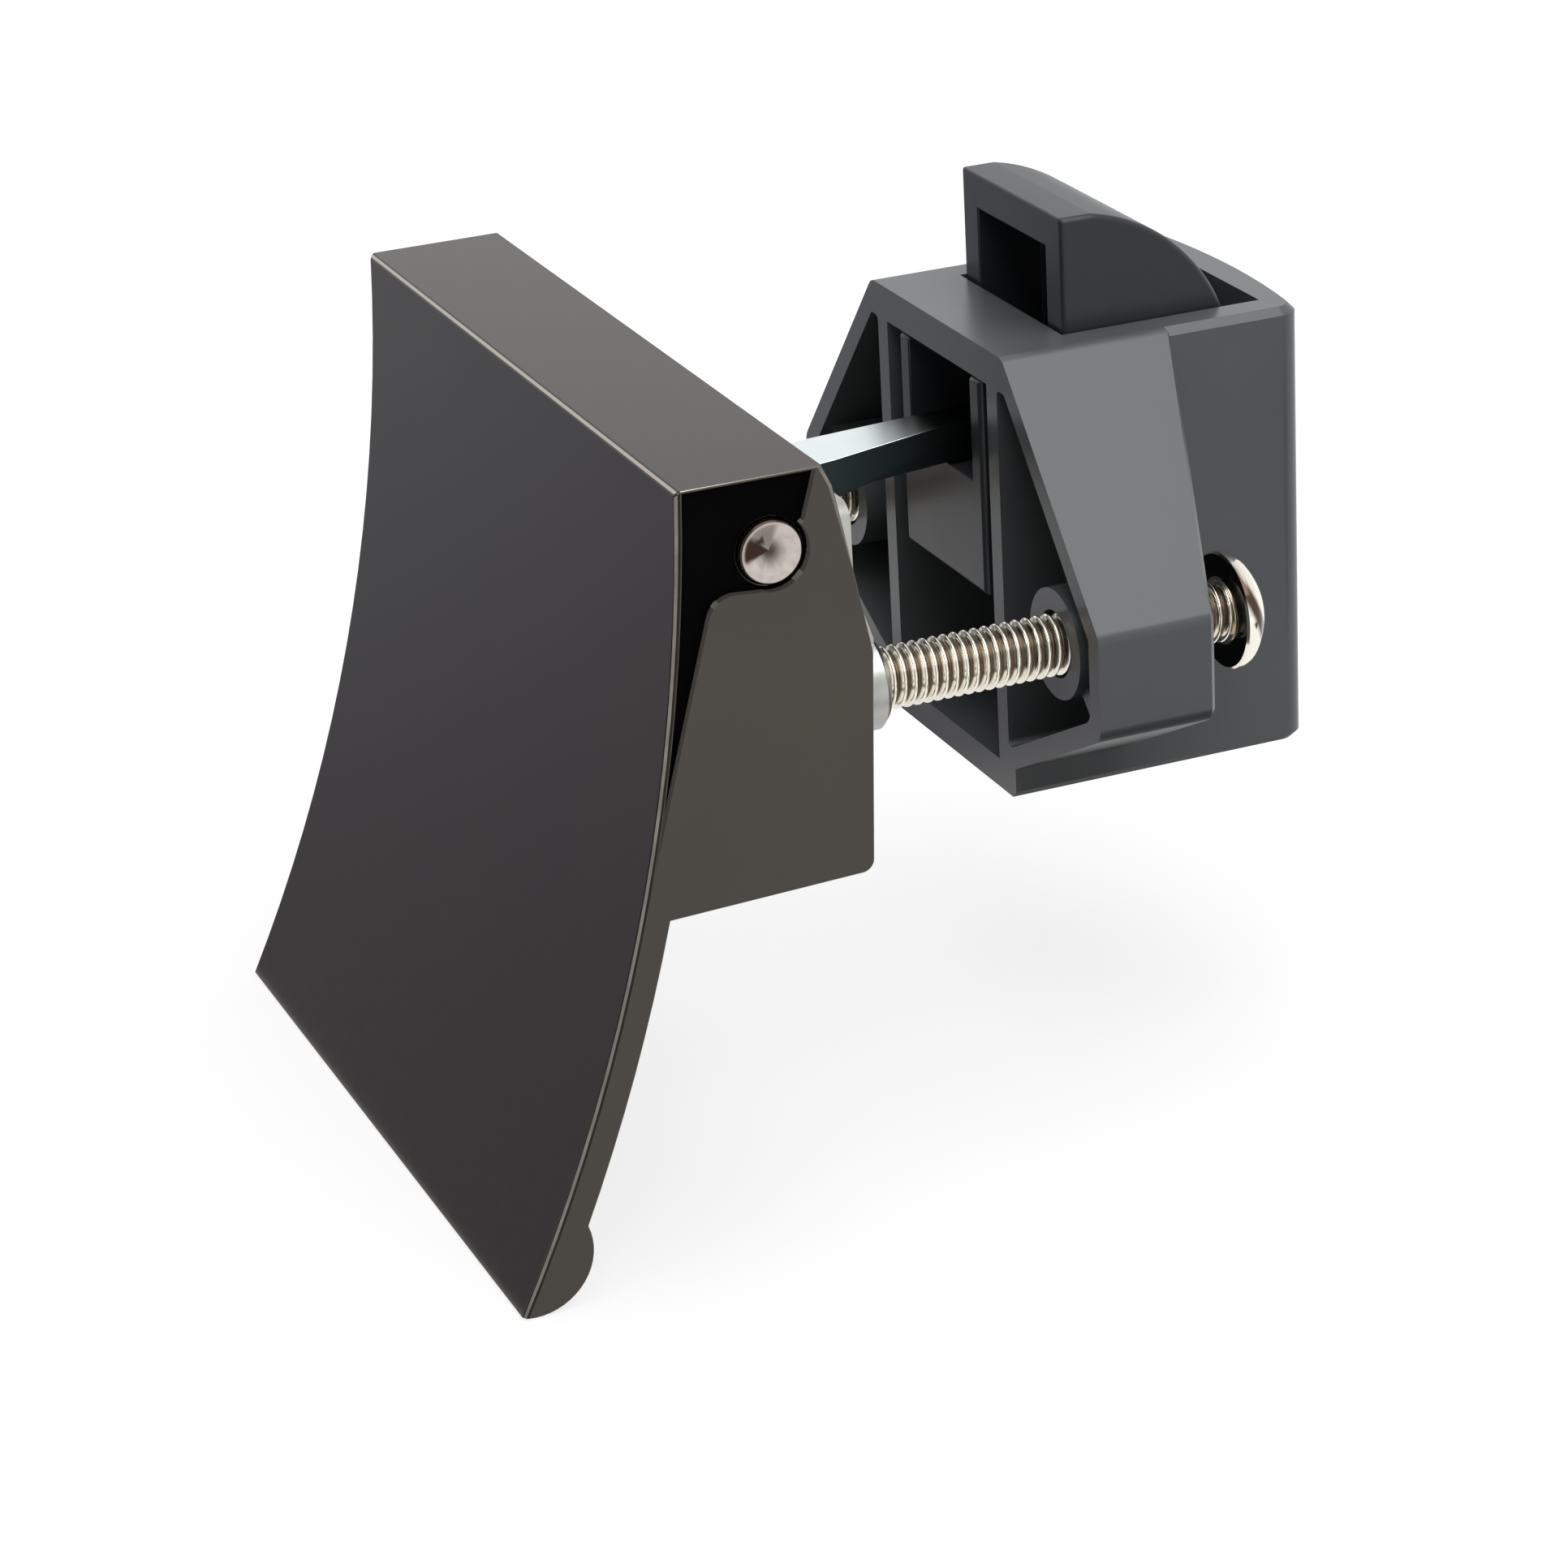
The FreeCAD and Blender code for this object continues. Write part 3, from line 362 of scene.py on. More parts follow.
def nickel_screw(screw_x, seat_y):
    """Nickel-plated steel, thread rolled: crests and head shine, and the roots of the thread are painted
    dark brown as shade.

    A streak of painted reflection runs across the right head's outer side. The seat under a head is painted
    dark as shade."""
    head_inner_radius = 2.2 * MM
    root_radius, crest_radius = 1.6 * MM, 1.76 * MM
    streak_slope = 2.6
    streak_start_z = 2.9 * MM
    streak_edge, streak_core = 1.5 * MM, 0.5 * MM
    grain_mm = 0.3
    material, tree, place, shader = new_material("nickel_plated_steel", {"Metallic": 1.0})
    spot = add(tree, "ShaderNodeSeparateXYZ", links={"Vector": (place, "Object")})
    out = add(tree, "ShaderNodeMath", {"operation": "ABSOLUTE"}, links={0: (spot, "X")})
    across = add(tree, "ShaderNodeMath", {"operation": "SUBTRACT"}, {1: screw_x}, {0: (out, 0)})
    flat = add(tree, "ShaderNodeCombineXYZ", links={"X": (across, 0), "Y": (spot, "Z")})
    radius = add(tree, "ShaderNodeVectorMath", {"operation": "LENGTH"}, links={0: (flat, 0)})
    crest = add(tree, "ShaderNodeMapRange", {"interpolation_type": "SMOOTHSTEP"},
                {"From Min": root_radius, "From Max": crest_radius}, {"Value": (radius, "Value")})
    # Painted shade: the thread's roots are coloured dark brown.
    metal = add(tree, "ShaderNodeMix", {"data_type": "RGBA"},
                {MIX_A: tint("#5e5142"), MIX_B: tint("#f4efe3")}, {0: (crest, "Result")})
    # Painted reflection: a brown streak across the right head's outer side.
    reach = add(tree, "ShaderNodeMath", {"operation": "SUBTRACT"}, {1: seat_y}, {0: (spot, "Y")})
    slant = add(tree, "ShaderNodeMath", {"operation": "MULTIPLY_ADD"},
                {1: streak_slope, 2: -streak_start_z}, {0: (reach, 0)})
    aside = add(tree, "ShaderNodeMath", {"operation": "ADD"}, links={0: (spot, "Z"), 1: (slant, 0)})
    off_streak = add(tree, "ShaderNodeMath", {"operation": "ABSOLUTE"}, links={0: (aside, 0)})
    streak = add(tree, "ShaderNodeMapRange", {"interpolation_type": "SMOOTHSTEP"},
                 {"From Min": streak_edge, "From Max": streak_core}, {"Value": (off_streak, 0)})
    on_head = add(tree, "ShaderNodeMath", {"operation": "GREATER_THAN"}, {1: head_inner_radius},
                  {0: (radius, "Value")})
    outer = add(tree, "ShaderNodeMath", {"operation": "GREATER_THAN"}, {1: screw_x}, {0: (spot, "X")})
    reflection_streak = add(tree, "ShaderNodeMath", {"operation": "MULTIPLY"},
                links={0: (streak, "Result"), 1: (on_head, 0)})
    reflection_streak = add(tree, "ShaderNodeMath", {"operation": "MULTIPLY"}, links={0: (reflection_streak, 0), 1: (outer, 0)})
    streaked = add(tree, "ShaderNodeMix", {"data_type": "RGBA"}, {MIX_B: tint("#54453c")},
                  {0: (reflection_streak, 0), MIX_A: (metal, MIXED)})
    # Painted shade on the seat under the head.
    normal = add(tree, "ShaderNodeSeparateXYZ", links={"Vector": (place, "Normal")})
    under = add(tree, "ShaderNodeMath", {"operation": "LESS_THAN"}, {1: -0.9}, {0: (normal, "Y")})
    seat = add(tree, "ShaderNodeMath", {"operation": "MULTIPLY"}, links={0: (under, 0), 1: (on_head, 0)})
    colour = add(tree, "ShaderNodeMix", {"data_type": "RGBA"}, {MIX_B: tint("#1d1b19")},
                 {0: (seat, 0), MIX_A: (streaked, MIXED)})
    tree.links.new(colour.outputs[MIXED], shader.inputs["Base Color"])
    rough = add(tree, "ShaderNodeMapRange", inputs={"To Min": 0.32, "To Max": 0.14},
                links={"Value": (crest, "Result")})
    tree.links.new(rough.outputs["Result"], shader.inputs["Roughness"])
    fine_marks(tree, place, shader, grain_mm, strength=0.06)
    return material


finishes = {
    "handle": black_plating(),
    "handle_base": bright_metal("cast_zinc", "#c2c2be", "#9a9995",
                                roughness=0.34, grain_mm=0.5, strength=0.3),
    "pivot_pin": turned_steel(),
    "actuator_lever": punched_steel(),
    "lever_rivet": bright_metal("zinc_plated_rivet", "#d6dadc", "#b8bdc0",
                                roughness=0.3, grain_mm=0.3, strength=0.2),
    "lock_body": moulded_grey("moulded_grey_nylon", "#56595b", "#4b4e50", roughness=0.3, gloss=0.5),
    "latch_bolt": moulded_grey("moulded_grey_acetal", "#2f3236", "#2a2c30", roughness=0.31, gloss=0.32),
    "bolt_spring": bright_metal("drawn_spring_wire", "#a8a6a2", "#83817d",
                                roughness=0.3, grain_mm=0.2, strength=0.15),
}
screw_low, screw_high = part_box("mounting_screw_right")
head_height = 2.5 * MM
nickel = nickel_screw((screw_low.x + screw_high.x) / 2, screw_high.y - head_height)
for node_name, finish in finishes.items():
    paint(node_name, finish)


# Pieces.
def plain_mesh(made, name):
    """The evaluated shape of an object as a plain mesh, after which the object itself is dropped."""
    depsgraph = bpy.context.evaluated_depsgraph_get()
    mesh = bpy.data.meshes.new_from_object(made.evaluated_get(depsgraph), depsgraph=depsgraph)
    mesh.name = name
    bpy.data.objects.remove(made)
    return mesh


def on_rim(normal):
    """Whether a face belongs to the narrow chamfer at the sides or the top of the handle's front face.

    The chamfer stands at about 45 degrees, so each limit leaves room for its curve."""
    at_side = 0.5 < abs(normal.x) < 0.9
    at_top = abs(normal.x) < 0.2 and 0.5 < normal.z < 0.9
    return normal.y < -0.3 and (at_side or at_top)


def in_recess_wall(face):
    """Whether a face is a wall of the shallow recess in an end face of the handle."""
    floor_x = 27.35 * MM
    floor_wide = 0.5 * MM
    reach = [abs(corner.co.x) for corner in face.verts]
    return min(reach) > floor_x and max(reach) - min(reach) > floor_wide


def close_slivers(shell):
    """Join each corner to the edge that it all but touches, so that no face ends in a sliver."""
    near = 0.004 * MM
    long_enough = 1.0 * MM
    corners = list(shell.verts)
    for edge in [edge for edge in shell.edges if edge.calc_length() > long_enough]:
        start, end = edge.verts
        span = end.co - start.co
        for corner in corners:
            along = (corner.co - start.co).dot(span) / span.length_squared
            if 0 < along < 1 and corner not in (start, end):
                if (start.co + span * along - corner.co).length < near:
                    bmesh.utils.edge_split(edge, start, along)
                    break
    bmesh.ops.remove_doubles(shell, verts=shell.verts, dist=near)


def handle_share(edge):
    """The part of the full easing that an edge of the handle gets.

    The flange's rear corners are the roundest, the rim of the front face and the other edges less so, and
    the walls of the recesses stay sharp."""
    flange_low_z = 16.9 * MM
    flange_rear_y = -3.1 * MM
    flange_half = 27.9 * MM
    round_share, rim_share, plain_share, sharp_share = 1.0, 0.3, 0.2, 0.0
    if any(in_recess_wall(face) for face in edge.link_faces):
        return sharp_share
    places = [corner.co for corner in edge.verts]
    if all(p.z > flange_low_z and p.y > flange_rear_y and abs(p.x) > flange_half for p in places):
        return round_share
    return rim_share if any(on_rim(face.normal) for face in edge.link_faces) else plain_share


def eased_copy(node_name, name, body, width_mm, materials, share=lambda edge: 1.0):
    """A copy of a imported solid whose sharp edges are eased, as moulds, tumbling and plating leave them.

    The last of the materials goes to the eased edges. The part of the width that an edge gets is given as
    a function of the edge."""
    sharp = math.radians(32)
    flat = math.radians(0.3)
    same_place = 0.002 * MM
    cleaner = bmesh.new()
    cleaner.from_mesh(nodes[node_name].data)
    bmesh.ops.remove_doubles(cleaner, verts=cleaner.verts, dist=same_place)
    bmesh.ops.dissolve_limit(cleaner, angle_limit=flat, verts=cleaner.verts, edges=cleaner.edges)
    close_slivers(cleaner)
    eased = cleaner.edges.layers.float.new("bevel_weight_edge")
    for edge in cleaner.edges:
        if len(edge.link_faces) == 2 and edge.calc_face_angle() > sharp:
            edge[eased] = share(edge)
    for face in cleaner.faces:
        face.smooth = True
    mesh = bpy.data.meshes.new(name)
    cleaner.to_mesh(mesh)
    cleaner.free()
    for material in materials:
        mesh.materials.append(material)
    made = new_object(name + "_making", mesh)
    easing = made.modifiers.new("easing", "BEVEL")
    easing.limit_method = "WEIGHT"
    easing.width = width_mm * MM
    easing.segments = 2
    easing.use_clamp_overlap = True
    easing.material = len(materials) - 1
    shading = made.modifiers.new("shading", "WEIGHTED_NORMAL")
    shading.keep_sharp = True
    finished = new_object(name, plain_mesh(made, name))
    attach(finished, body)
    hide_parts(node_name)
    return finished


def brighten_rim(casting):
    """The middle of the chamfer round the handle's front face gets the painted highlight, between two strips
    of painted dark reflection.

    Each face is told by its normal: the chamfer's middle stands near 45 degrees."""
    # Material slots: the plating, its painted dark reflection and its painted highlight.
    plated, dark, rim_highlight = 0, 1, 2
    rearward = -0.1
    straight, square = 0.05, 0.98
    rising, leaning = 0.1, 0.3
    top_low, top_high = 0.6, 0.8
    side_low, side_high = 0.66, 0.74
    for face in casting.data.polygons:
        sideways = abs(face.normal.x)
        upwards = face.normal.z
        if face.normal.y > rearward:
            continue
        if sideways < straight and rising < upwards < square:
            face.material_index = rim_highlight if top_low < upwards < top_high else plated
        elif side_low < sideways < side_high:
            face.material_index = rim_highlight
        elif straight < sideways < square:
            face.material_index = dark if sideways > leaning else plated


def thread_tree():
    """Geometry Nodes for a machine thread: a tube whose radius follows a helix, closed at both ends.

    The tube runs along Y from its tip. Each point's distance from the axis comes from the helix there."""
    seam = 0.0005 * MM
    tree = bpy.data.node_groups.new("machine_thread", "GeometryNodeTree")
    sockets = {}
    for name, kind in (("Length", "NodeSocketFloat"), ("Crest Radius", "NodeSocketFloat"),
                       ("Thread Depth", "NodeSocketFloat"), ("Pitch", "NodeSocketFloat"),
                       ("Tip Chamfer", "NodeSocketFloat"), ("Rings", "NodeSocketInt"),
                       ("Steps", "NodeSocketInt"), ("Turn", "NodeSocketFloat"),
                       ("Tip", "NodeSocketVector"), ("Metal", "NodeSocketMaterial")):
        sockets[name] = tree.interface.new_socket(name, in_out="INPUT", socket_type=kind)
    tree.interface.new_socket("Geometry", in_out="OUTPUT", socket_type="NodeSocketGeometry")
    given = add(tree, "NodeGroupInput")

    def number(operation, *values):
        """A Math node fed by numbers or (node, output) pairs."""
        inputs = {i: v for i, v in enumerate(values) if not isinstance(v, tuple)}
        links = {i: v for i, v in enumerate(values) if isinstance(v, tuple)}
        return add(tree, "ShaderNodeMath", {"operation": operation}, inputs, links), 0

    sheet = add(tree, "GeometryNodeMeshGrid", inputs={"Size X": 1.0, "Size Y": 1.0},
                links={"Vertices X": (given, "Rings"), "Vertices Y": (given, "Steps")})
    where = add(tree, "GeometryNodeInputPosition")
    split = add(tree, "ShaderNodeSeparateXYZ", links={0: (where, 0)})
    along = number("ADD", (split, "X"), 0.5)
    around = number("ADD", (split, "Y"), 0.5)
    spacing = number("DIVIDE", 1.0, number("SUBTRACT", (given, "Rings"), 1.0))
    inset = add(tree, "ShaderNodeMapRange", links={"Value": along, "From Min": spacing,
                                                   "From Max": number("SUBTRACT", 1.0, spacing)})
    height = number("MULTIPLY", (inset, "Result"), (given, "Length"))
    helix = number("SUBTRACT", number("DIVIDE", height, (given, "Pitch")),
                   number("ADD", around, (given, "Turn")))
    ridge = number("PINGPONG", number("MULTIPLY", helix, 2.0), 1.0)
    flank = add(tree, "ShaderNodeMapRange", {"interpolation_type": "SMOOTHSTEP"},
                {"From Min": 0.1, "From Max": 0.9}, {"Value": ridge})
    sunk = number("MULTIPLY", (given, "Thread Depth"), number("SUBTRACT", 1.0, (flank, "Result")))
    threaded = number("SUBTRACT", (given, "Crest Radius"), sunk)
    cone = number("ADD", number("SUBTRACT", (given, "Crest Radius"), (given, "Tip Chamfer")), height)
    radius = number("MINIMUM", threaded, cone)
    edge_distance = number("MINIMUM", along, number("SUBTRACT", 1.0, along))
    open_part = number("GREATER_THAN", edge_distance, number("MULTIPLY", spacing, 0.5))
    radius = number("MULTIPLY", radius, open_part)
    angle = number("MULTIPLY", around, 2 * math.pi)
    point = add(tree, "ShaderNodeCombineXYZ", links={
        "X": number("MULTIPLY", radius, number("COSINE", angle)),
        "Y": height,
        "Z": number("MULTIPLY", radius, number("SINE", angle))})
    moved = add(tree, "ShaderNodeVectorMath", {"operation": "ADD"},
                links={0: (point, 0), 1: (given, "Tip")})
    rolled = add(tree, "GeometryNodeSetPosition",
                 links={"Geometry": (sheet, "Mesh"), "Position": (moved, 0)})
    closed = add(tree, "GeometryNodeMergeByDistance", inputs={"Distance": seam},
                 links={"Geometry": (rolled, 0)})
    whole = add(tree, "GeometryNodeRealizeInstances", links={"Geometry": (closed, 0)})
    plated = add(tree, "GeometryNodeSetMaterial",
                 links={"Geometry": (whole, 0), "Material": (given, "Metal")})
    add(tree, "NodeGroupOutput", links={"Geometry": (plated, 0)})
    return tree, {name: socket.identifier for name, socket in sockets.items()}


def screw_head(centre_x, seat_y, turn):
    """Pan head of a fixing screw, seat towards the door: rounded rim, low dome and cross recess."""
    radius = 3.8 * MM
    rim = 0.8 * MM
    shoulder = 0.35 * MM
    seat_chamfer = 0.14 * MM
    steps = 64
    dome_rings = 9
    shoulder_rings = 4
    sharp = math.radians(30)
    rise = head_height - rim
    sphere = (radius ** 2 + rise ** 2) / (2 * rise)
    dome = []
    for i in range(1, dome_rings):
        lean = math.asin(radius / sphere) * (1 - i / dome_rings)
        dome.append((sphere * math.sin(lean), head_height - sphere * (1 - math.cos(lean))))
    profile = [(radius - seat_chamfer, 0.0), (radius, seat_chamfer)]
    for i in range(shoulder_rings):
        t = i / shoulder_rings
        start, corner, end = (1 - t) ** 2, 2 * t * (1 - t), t ** 2
        profile.append((radius * (start + corner) + dome[0][0] * end,
                        (rim - shoulder) * start + rim * corner + dome[0][1] * end))
    profile += dome
    maker = bmesh.new()
    rings = []
    for r, y in profile:
        ring = []
        for k in range(steps):
            a = 2 * math.pi * k / steps
            ring.append(maker.verts.new((centre_x + r * math.cos(a), seat_y + y, r * math.sin(a))))
        rings.append(ring)
    for low, high in zip(rings, rings[1:]):
        for k in range(steps):
            maker.faces.new((low[k], high[k], high[(k + 1) % steps], low[(k + 1) % steps]))
    seat = maker.verts.new((centre_x, seat_y, 0))
    top = maker.verts.new((centre_x, seat_y + head_height, 0))
    for k in range(steps):
        maker.faces.new((seat, rings[0][k], rings[0][(k + 1) % steps]))
        maker.faces.new((top, rings[-1][(k + 1) % steps], rings[-1][k]))
    bmesh.ops.recalc_face_normals(maker, faces=maker.faces)
    mesh = bpy.data.meshes.new("screw_head")
    maker.to_mesh(mesh)
    maker.free()
    head = new_object("screw_head", mesh)
    cutter = cross_cutter(centre_x, seat_y + head_height, turn)
    cut = head.modifiers.new("cross", "BOOLEAN")
    cut.operation = "DIFFERENCE"
    cut.solver = "EXACT"
    cut.object = cutter
    bpy.context.view_layer.update()
    mesh = plain_mesh(head, "screw_head")
    bpy.data.objects.remove(cutter)
    mesh.shade_smooth()
    mesh.set_sharp_from_angle(angle=sharp)
    return mesh


def cross_cutter(centre_x, top_y, turn):
    """The tapered cross of the drive, a little proud of the head's top."""
    span = 2.2 * MM
    arm = 0.5 * MM
    depth = 1.7 * MM
    proud = 0.4 * MM
    floor_share = 0.45
    outline = [(span, arm), (arm, arm), (arm, span), (-arm, span), (-arm, arm), (-span, arm)]
    outline += [(-x, -z) for x, z in outline]
    maker = bmesh.new()
    levels = []
    for y, scale in ((top_y + proud, 1.0), (top_y - depth, floor_share)):
        ring = []
        for x, z in outline:
            u = x * math.cos(turn) - z * math.sin(turn)
            v = x * math.sin(turn) + z * math.cos(turn)
            ring.append(maker.verts.new((centre_x + u * scale, y, v * scale)))
        levels.append(ring)
    upper, lower = levels
    count = len(outline)
    for k in range(count):
        maker.faces.new((upper[k], upper[(k + 1) % count], lower[(k + 1) % count], lower[k]))
    maker.faces.new(upper)
    maker.faces.new(lower)
    bmesh.ops.recalc_face_normals(maker, faces=maker.faces)
    mesh = bpy.data.meshes.new("cross_cutter")
    maker.to_mesh(mesh)
    maker.free()
    return new_object("cross_cutter", mesh)


def fixing_screw(side, tree, sockets, turn):
    """One M4 screw: rolled thread with its chamfered tip, and the head, as one plain mesh.

    The shank runs a little way into the head, so that no gap shows under it."""
    low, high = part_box("mounting_screw_" + side)
    centre_x = (low.x + high.x) / 2
    bite = 0.4 * MM
    pitch = 0.7 * MM
    rings_per_pitch = 14
    seat_y = high.y - head_height
    length = seat_y + bite - low.y
    blank = new_object("thread_" + side, bpy.data.meshes.new("thread_" + side))
    rolling = blank.modifiers.new("thread", "NODES")
    rolling.node_group = tree
    sizes = {
        "Length": length,
        "Crest Radius": 2.0 * MM,
        "Thread Depth": 0.43 * MM,
        "Pitch": pitch,
        "Tip Chamfer": 0.5 * MM,
        "Rings": round(length / pitch * rings_per_pitch),
        "Steps": 49,
        "Turn": turn / (2 * math.pi),
        "Tip": (centre_x, low.y, 0.0),
        "Metal": nickel,
    }
    for name, value in sizes.items():
        rolling[sockets[name]] = value
    bpy.context.view_layer.update()
    thread = plain_mesh(blank, "thread_" + side)
    joiner = bmesh.new()
    joiner.from_mesh(thread)
    bmesh.ops.recalc_face_normals(joiner, faces=joiner.faces)
    for face in joiner.faces:
        face.smooth = True
    joiner.from_mesh(screw_head(centre_x, seat_y, turn))
    mesh = bpy.data.meshes.new("fixing_screw_" + side)
    joiner.to_mesh(mesh)
    joiner.free()
    mesh.materials.append(nickel)
    screw = new_object("fixing_screw_" + side, mesh)
    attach(screw, "frame")
    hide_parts("mounting_screw_" + side)


def coil_spring():
    """The bolt's spring, a smooth-shaded copy of the imported coil in its rest shape. In the lock its foot
    stays in the case and its top goes with the bolt, so that it shortens.
    """
    sharp = math.radians(60)
    mesh = nodes["bolt_spring"].data.copy()
    mesh.name = "coil_spring"
    mesh.shade_smooth()
    mesh.set_sharp_from_angle(angle=sharp)
    spring = new_object("coil_spring", mesh)
    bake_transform(spring)
    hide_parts("bolt_spring")


# The handle's plating, then its painted dark edge reflection, then its painted edge highlight.
handle_finishes = [finishes["handle"], dark_edge_reflection_plating(), edge_highlight_plating()]
brighten_rim(eased_copy("handle", "handle_casting", "pull", 0.4, handle_finishes, handle_share))
for node_name, name, body, width_mm in (("handle_base", "base_casting", "frame", 0.2),
                                        ("actuator_lever", "lever_finger", "pull", 0.35),
                                        ("lock_body", "case_moulding", "frame", 0.22),
                                        ("latch_bolt", "bolt_moulding", "bolt", 0.3),
                                        ("pivot_pin", "turned_pin", "frame", 0.07)):
    eased_copy(node_name, name, body, width_mm, [finishes[node_name]])
coil_spring()
thread_nodes, thread_sockets = thread_tree()
for side, turn in (("right", 0.3), ("left", 1.1)):
    fixing_screw(side, thread_nodes, thread_sockets, turn)


# Studio: pale floor, soft light and the photograph's camera.
def studio_white():
    """World that is plain white to the eye and in reflections, and lights the object softly.

    Reflections find it greyer overhead, so that level metal doesn't go blank when seen from above."""
    world = bpy.data.worlds.new("studio_white")
    world.use_nodes = True
    tree = world.node_tree
    tree.nodes.clear()
    place = add(tree, "ShaderNodeTexCoord")
    heading = add(tree, "ShaderNodeSeparateXYZ", links={"Vector": (place, "Generated")})
    overhead = add(tree, "ShaderNodeMapRange",
                   inputs={"From Min": 0.6, "From Max": 0.95, "To Min": 1.0, "To Max": 0.6},
                   links={"Value": (heading, "Z")})
    seen = rays_that_show(tree, (overhead, "Result"))
    level = add(tree, "ShaderNodeMapRange", inputs={"To Min": 0.3, "To Max": 1.0},
                links={"Value": (seen, 0)})
    sky = add(tree, "ShaderNodeBackground", inputs={"Color": (1, 1, 1, 1)},
              links={"Strength": (level, "Result")})
    add(tree, "ShaderNodeOutputWorld", links={"Surface": (sky, "Background")})
    bpy.context.scene.world = world


def pale_floor(height):
    """A wide white floor that the object stands on. It keeps the object's shadow.

    What the lamps give fades with distance, so its own whiteness rises from under the object outwards."""
    size = 3.0
    shadow_reach = 0.05
    fade_reach = 0.4
    mesh = bpy.data.meshes.new("floor")
    corners = [(-size, -size, height), (size, -size, height), (size, size, height), (-size, size, height)]
    mesh.from_pydata(corners, [], [(0, 1, 2, 3)])
    material, tree, place, shader = new_material("pale_sweep", {
        "Roughness": 0.9, "Base Color": tint("#808080"), "Specular IOR Level": 0.0,
        "Emission Color": (1, 1, 1, 1)})
    seen = rays_that_show(tree)
    away = add(tree, "ShaderNodeVectorMath", {"operation": "LENGTH"}, links={0: (place, "Object")})
    white = add(tree, "ShaderNodeMapRange",
                inputs={"From Min": shadow_reach, "From Max": fade_reach, "To Min": 0.8, "To Max": 1.0},
                links={"Value": (away, "Value")})
    lift = add(tree, "ShaderNodeMath", {"operation": "MULTIPLY"},
               links={0: (seen, 0), 1: (white, "Result")})
    tree.links.new(lift.outputs[0], shader.inputs["Emission Strength"])
    mesh.materials.append(material)
    floor = new_object("floor", mesh)


def grey_card(name, corners_mm, near_x_mm, far_x_mm, near_code, far_code):
    """A card that only glossy surfaces see, as in a product studio. Along X one grey runs into another."""
    mesh = bpy.data.meshes.new(name)
    mesh.from_pydata([tuple(c * MM for c in corner) for corner in corners_mm], [], [range(len(corners_mm))])
    card = new_object(name, mesh)
    material, tree, place, shader = new_material(name + "_paper", {
        "Roughness": 1.0, "Base Color": (0, 0, 0, 1), "Specular IOR Level": 0.0, "Emission Strength": 1.0})
    spot = add(tree, "ShaderNodeSeparateXYZ", links={"Vector": (place, "Object")})
    run = add(tree, "ShaderNodeMapRange", inputs={"From Min": near_x_mm * MM, "From Max": far_x_mm * MM},
              links={"Value": (spot, "X")})
    grey = add(tree, "ShaderNodeMix", {"data_type": "RGBA"},
               {MIX_A: tint(near_code), MIX_B: tint(far_code)}, {0: (run, "Result")})
    tree.links.new(grey.outputs[MIXED], shader.inputs["Emission Color"])
    mesh.materials.append(material)
    card.visible_camera = False
    card.visible_diffuse = False
    card.visible_shadow = False
    card.visible_transmission = False


def soft_light(name, spot, target, size, power, mirrored=True):
    """A square softbox at a spot, aimed at a target. It can be kept out of reflections."""
    lamp = bpy.data.lights.new(name, "AREA")
    lamp.shape = "SQUARE"
    lamp.size = size
    lamp.energy = power
    holder = new_object(name, lamp)
    holder.location = spot
    holder.rotation_mode = "QUATERNION"
    holder.rotation_quaternion = (Vector(target) - Vector(spot)).to_track_quat("-Z", "Y")
    holder.visible_camera = False
    holder.visible_glossy = mirrored


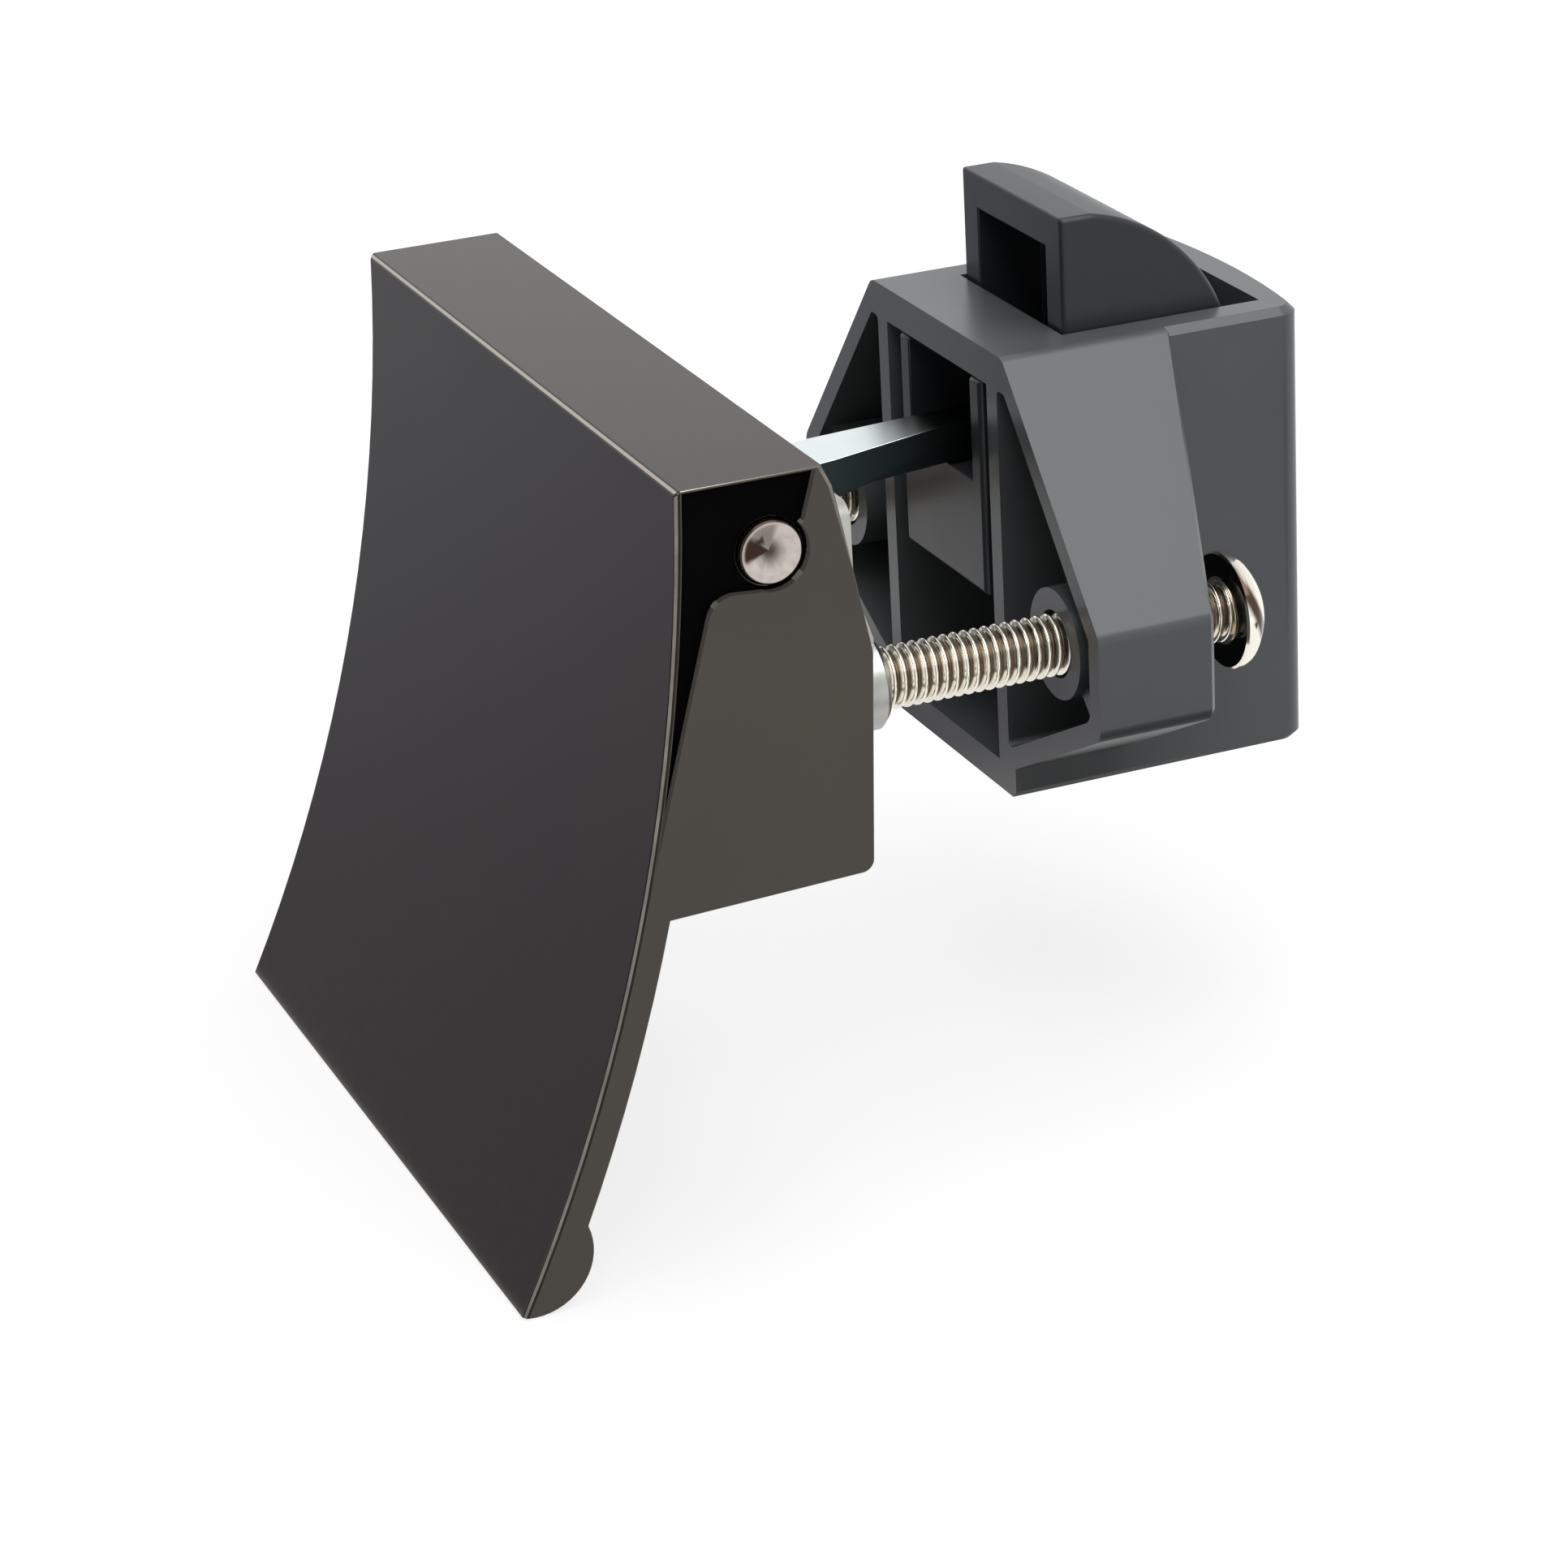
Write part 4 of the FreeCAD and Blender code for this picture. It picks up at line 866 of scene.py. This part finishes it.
def photo_camera():
    """Camera matched to the photograph: direction, roll, aim and distance in degrees and millimetres."""
    azimuth = math.radians(68.55)
    elevation = math.radians(22.76)
    roll = math.radians(-3.2)
    aim = Vector((-0.08, 4.79, -13.03)) * MM
    distance = 308.8 * MM
    focal_pixels = 5798.25
    picture_pixels = 1932
    back = Vector((math.sin(azimuth) * math.cos(elevation), -math.cos(azimuth) * math.cos(elevation),
                   math.sin(elevation)))
    right = Vector((math.cos(azimuth), math.sin(azimuth), 0))
    up = back.cross(right)
    tilted_right = right * math.cos(roll) + up * math.sin(roll)
    tilted_up = up * math.cos(roll) - right * math.sin(roll)
    data = bpy.data.cameras.new("photo_camera")
    data.sensor_width = 36.0
    data.lens = focal_pixels / picture_pixels * data.sensor_width
    data.clip_start = 0.01
    data.clip_end = 20
    camera = new_object("photo_camera", data)
    turn = Matrix((tilted_right, tilted_up, back)).transposed().to_4x4()
    camera.matrix_world = Matrix.Translation(aim + back * distance) @ turn
    bpy.context.scene.camera = camera


bpy.context.scene.view_settings.view_transform = "Standard"
studio_white()
floor_drop_mm = 0.05
card_lift_mm = 0.01
pale_floor(cad_low.z - floor_drop_mm * MM)
soft_light("key_softbox", (0.24, 0.05, 0.52), (0, 0.01, 0), size=0.6, power=3.0)
soft_light("top_softbox", (-0.15, 0.12, 0.6), (0, 0.02, 0), size=0.5, power=1.2, mirrored=False)
card_mm = cad_low.z / MM - floor_drop_mm + card_lift_mm
grey_card("left_card",
          [(30, -27, card_mm), (-36, -27, card_mm), (-36, 25, card_mm), (-62, 25, card_mm),
           (-62, -27, card_mm), (-95, -27, card_mm), (-400, -27, card_mm), (-400, -500, card_mm),
           (30, -500, card_mm)],
          -90, -190, "#a4a0aa", "#b0b2b8")
grey_card("bolt_card",
          [(-95, -27, card_mm), (-95, 150, card_mm), (-400, 150, card_mm), (-400, -27, card_mm)],
          -95, -400, "#c2c4c9", "#c2c4c9")
grey_card("rear_card", [(-420, 90, -20), (-420, 420, -20), (-420, 420, 55), (-420, 90, 55)],
          -420, -400, "#b4b6b9", "#b4b6b9")
grey_card("right_card", [(62, 84, card_mm), (120, 92, card_mm), (120, 135, card_mm), (62, 135, card_mm)],
          62, 120, "#2a211c", "#2a211c")
grey_card("screw_card", [(38, 26, card_mm), (76, 26, card_mm), (70, 46, card_mm), (38, 46, card_mm)],
          38, 76, "#4a382c", "#4a382c")
photo_camera()
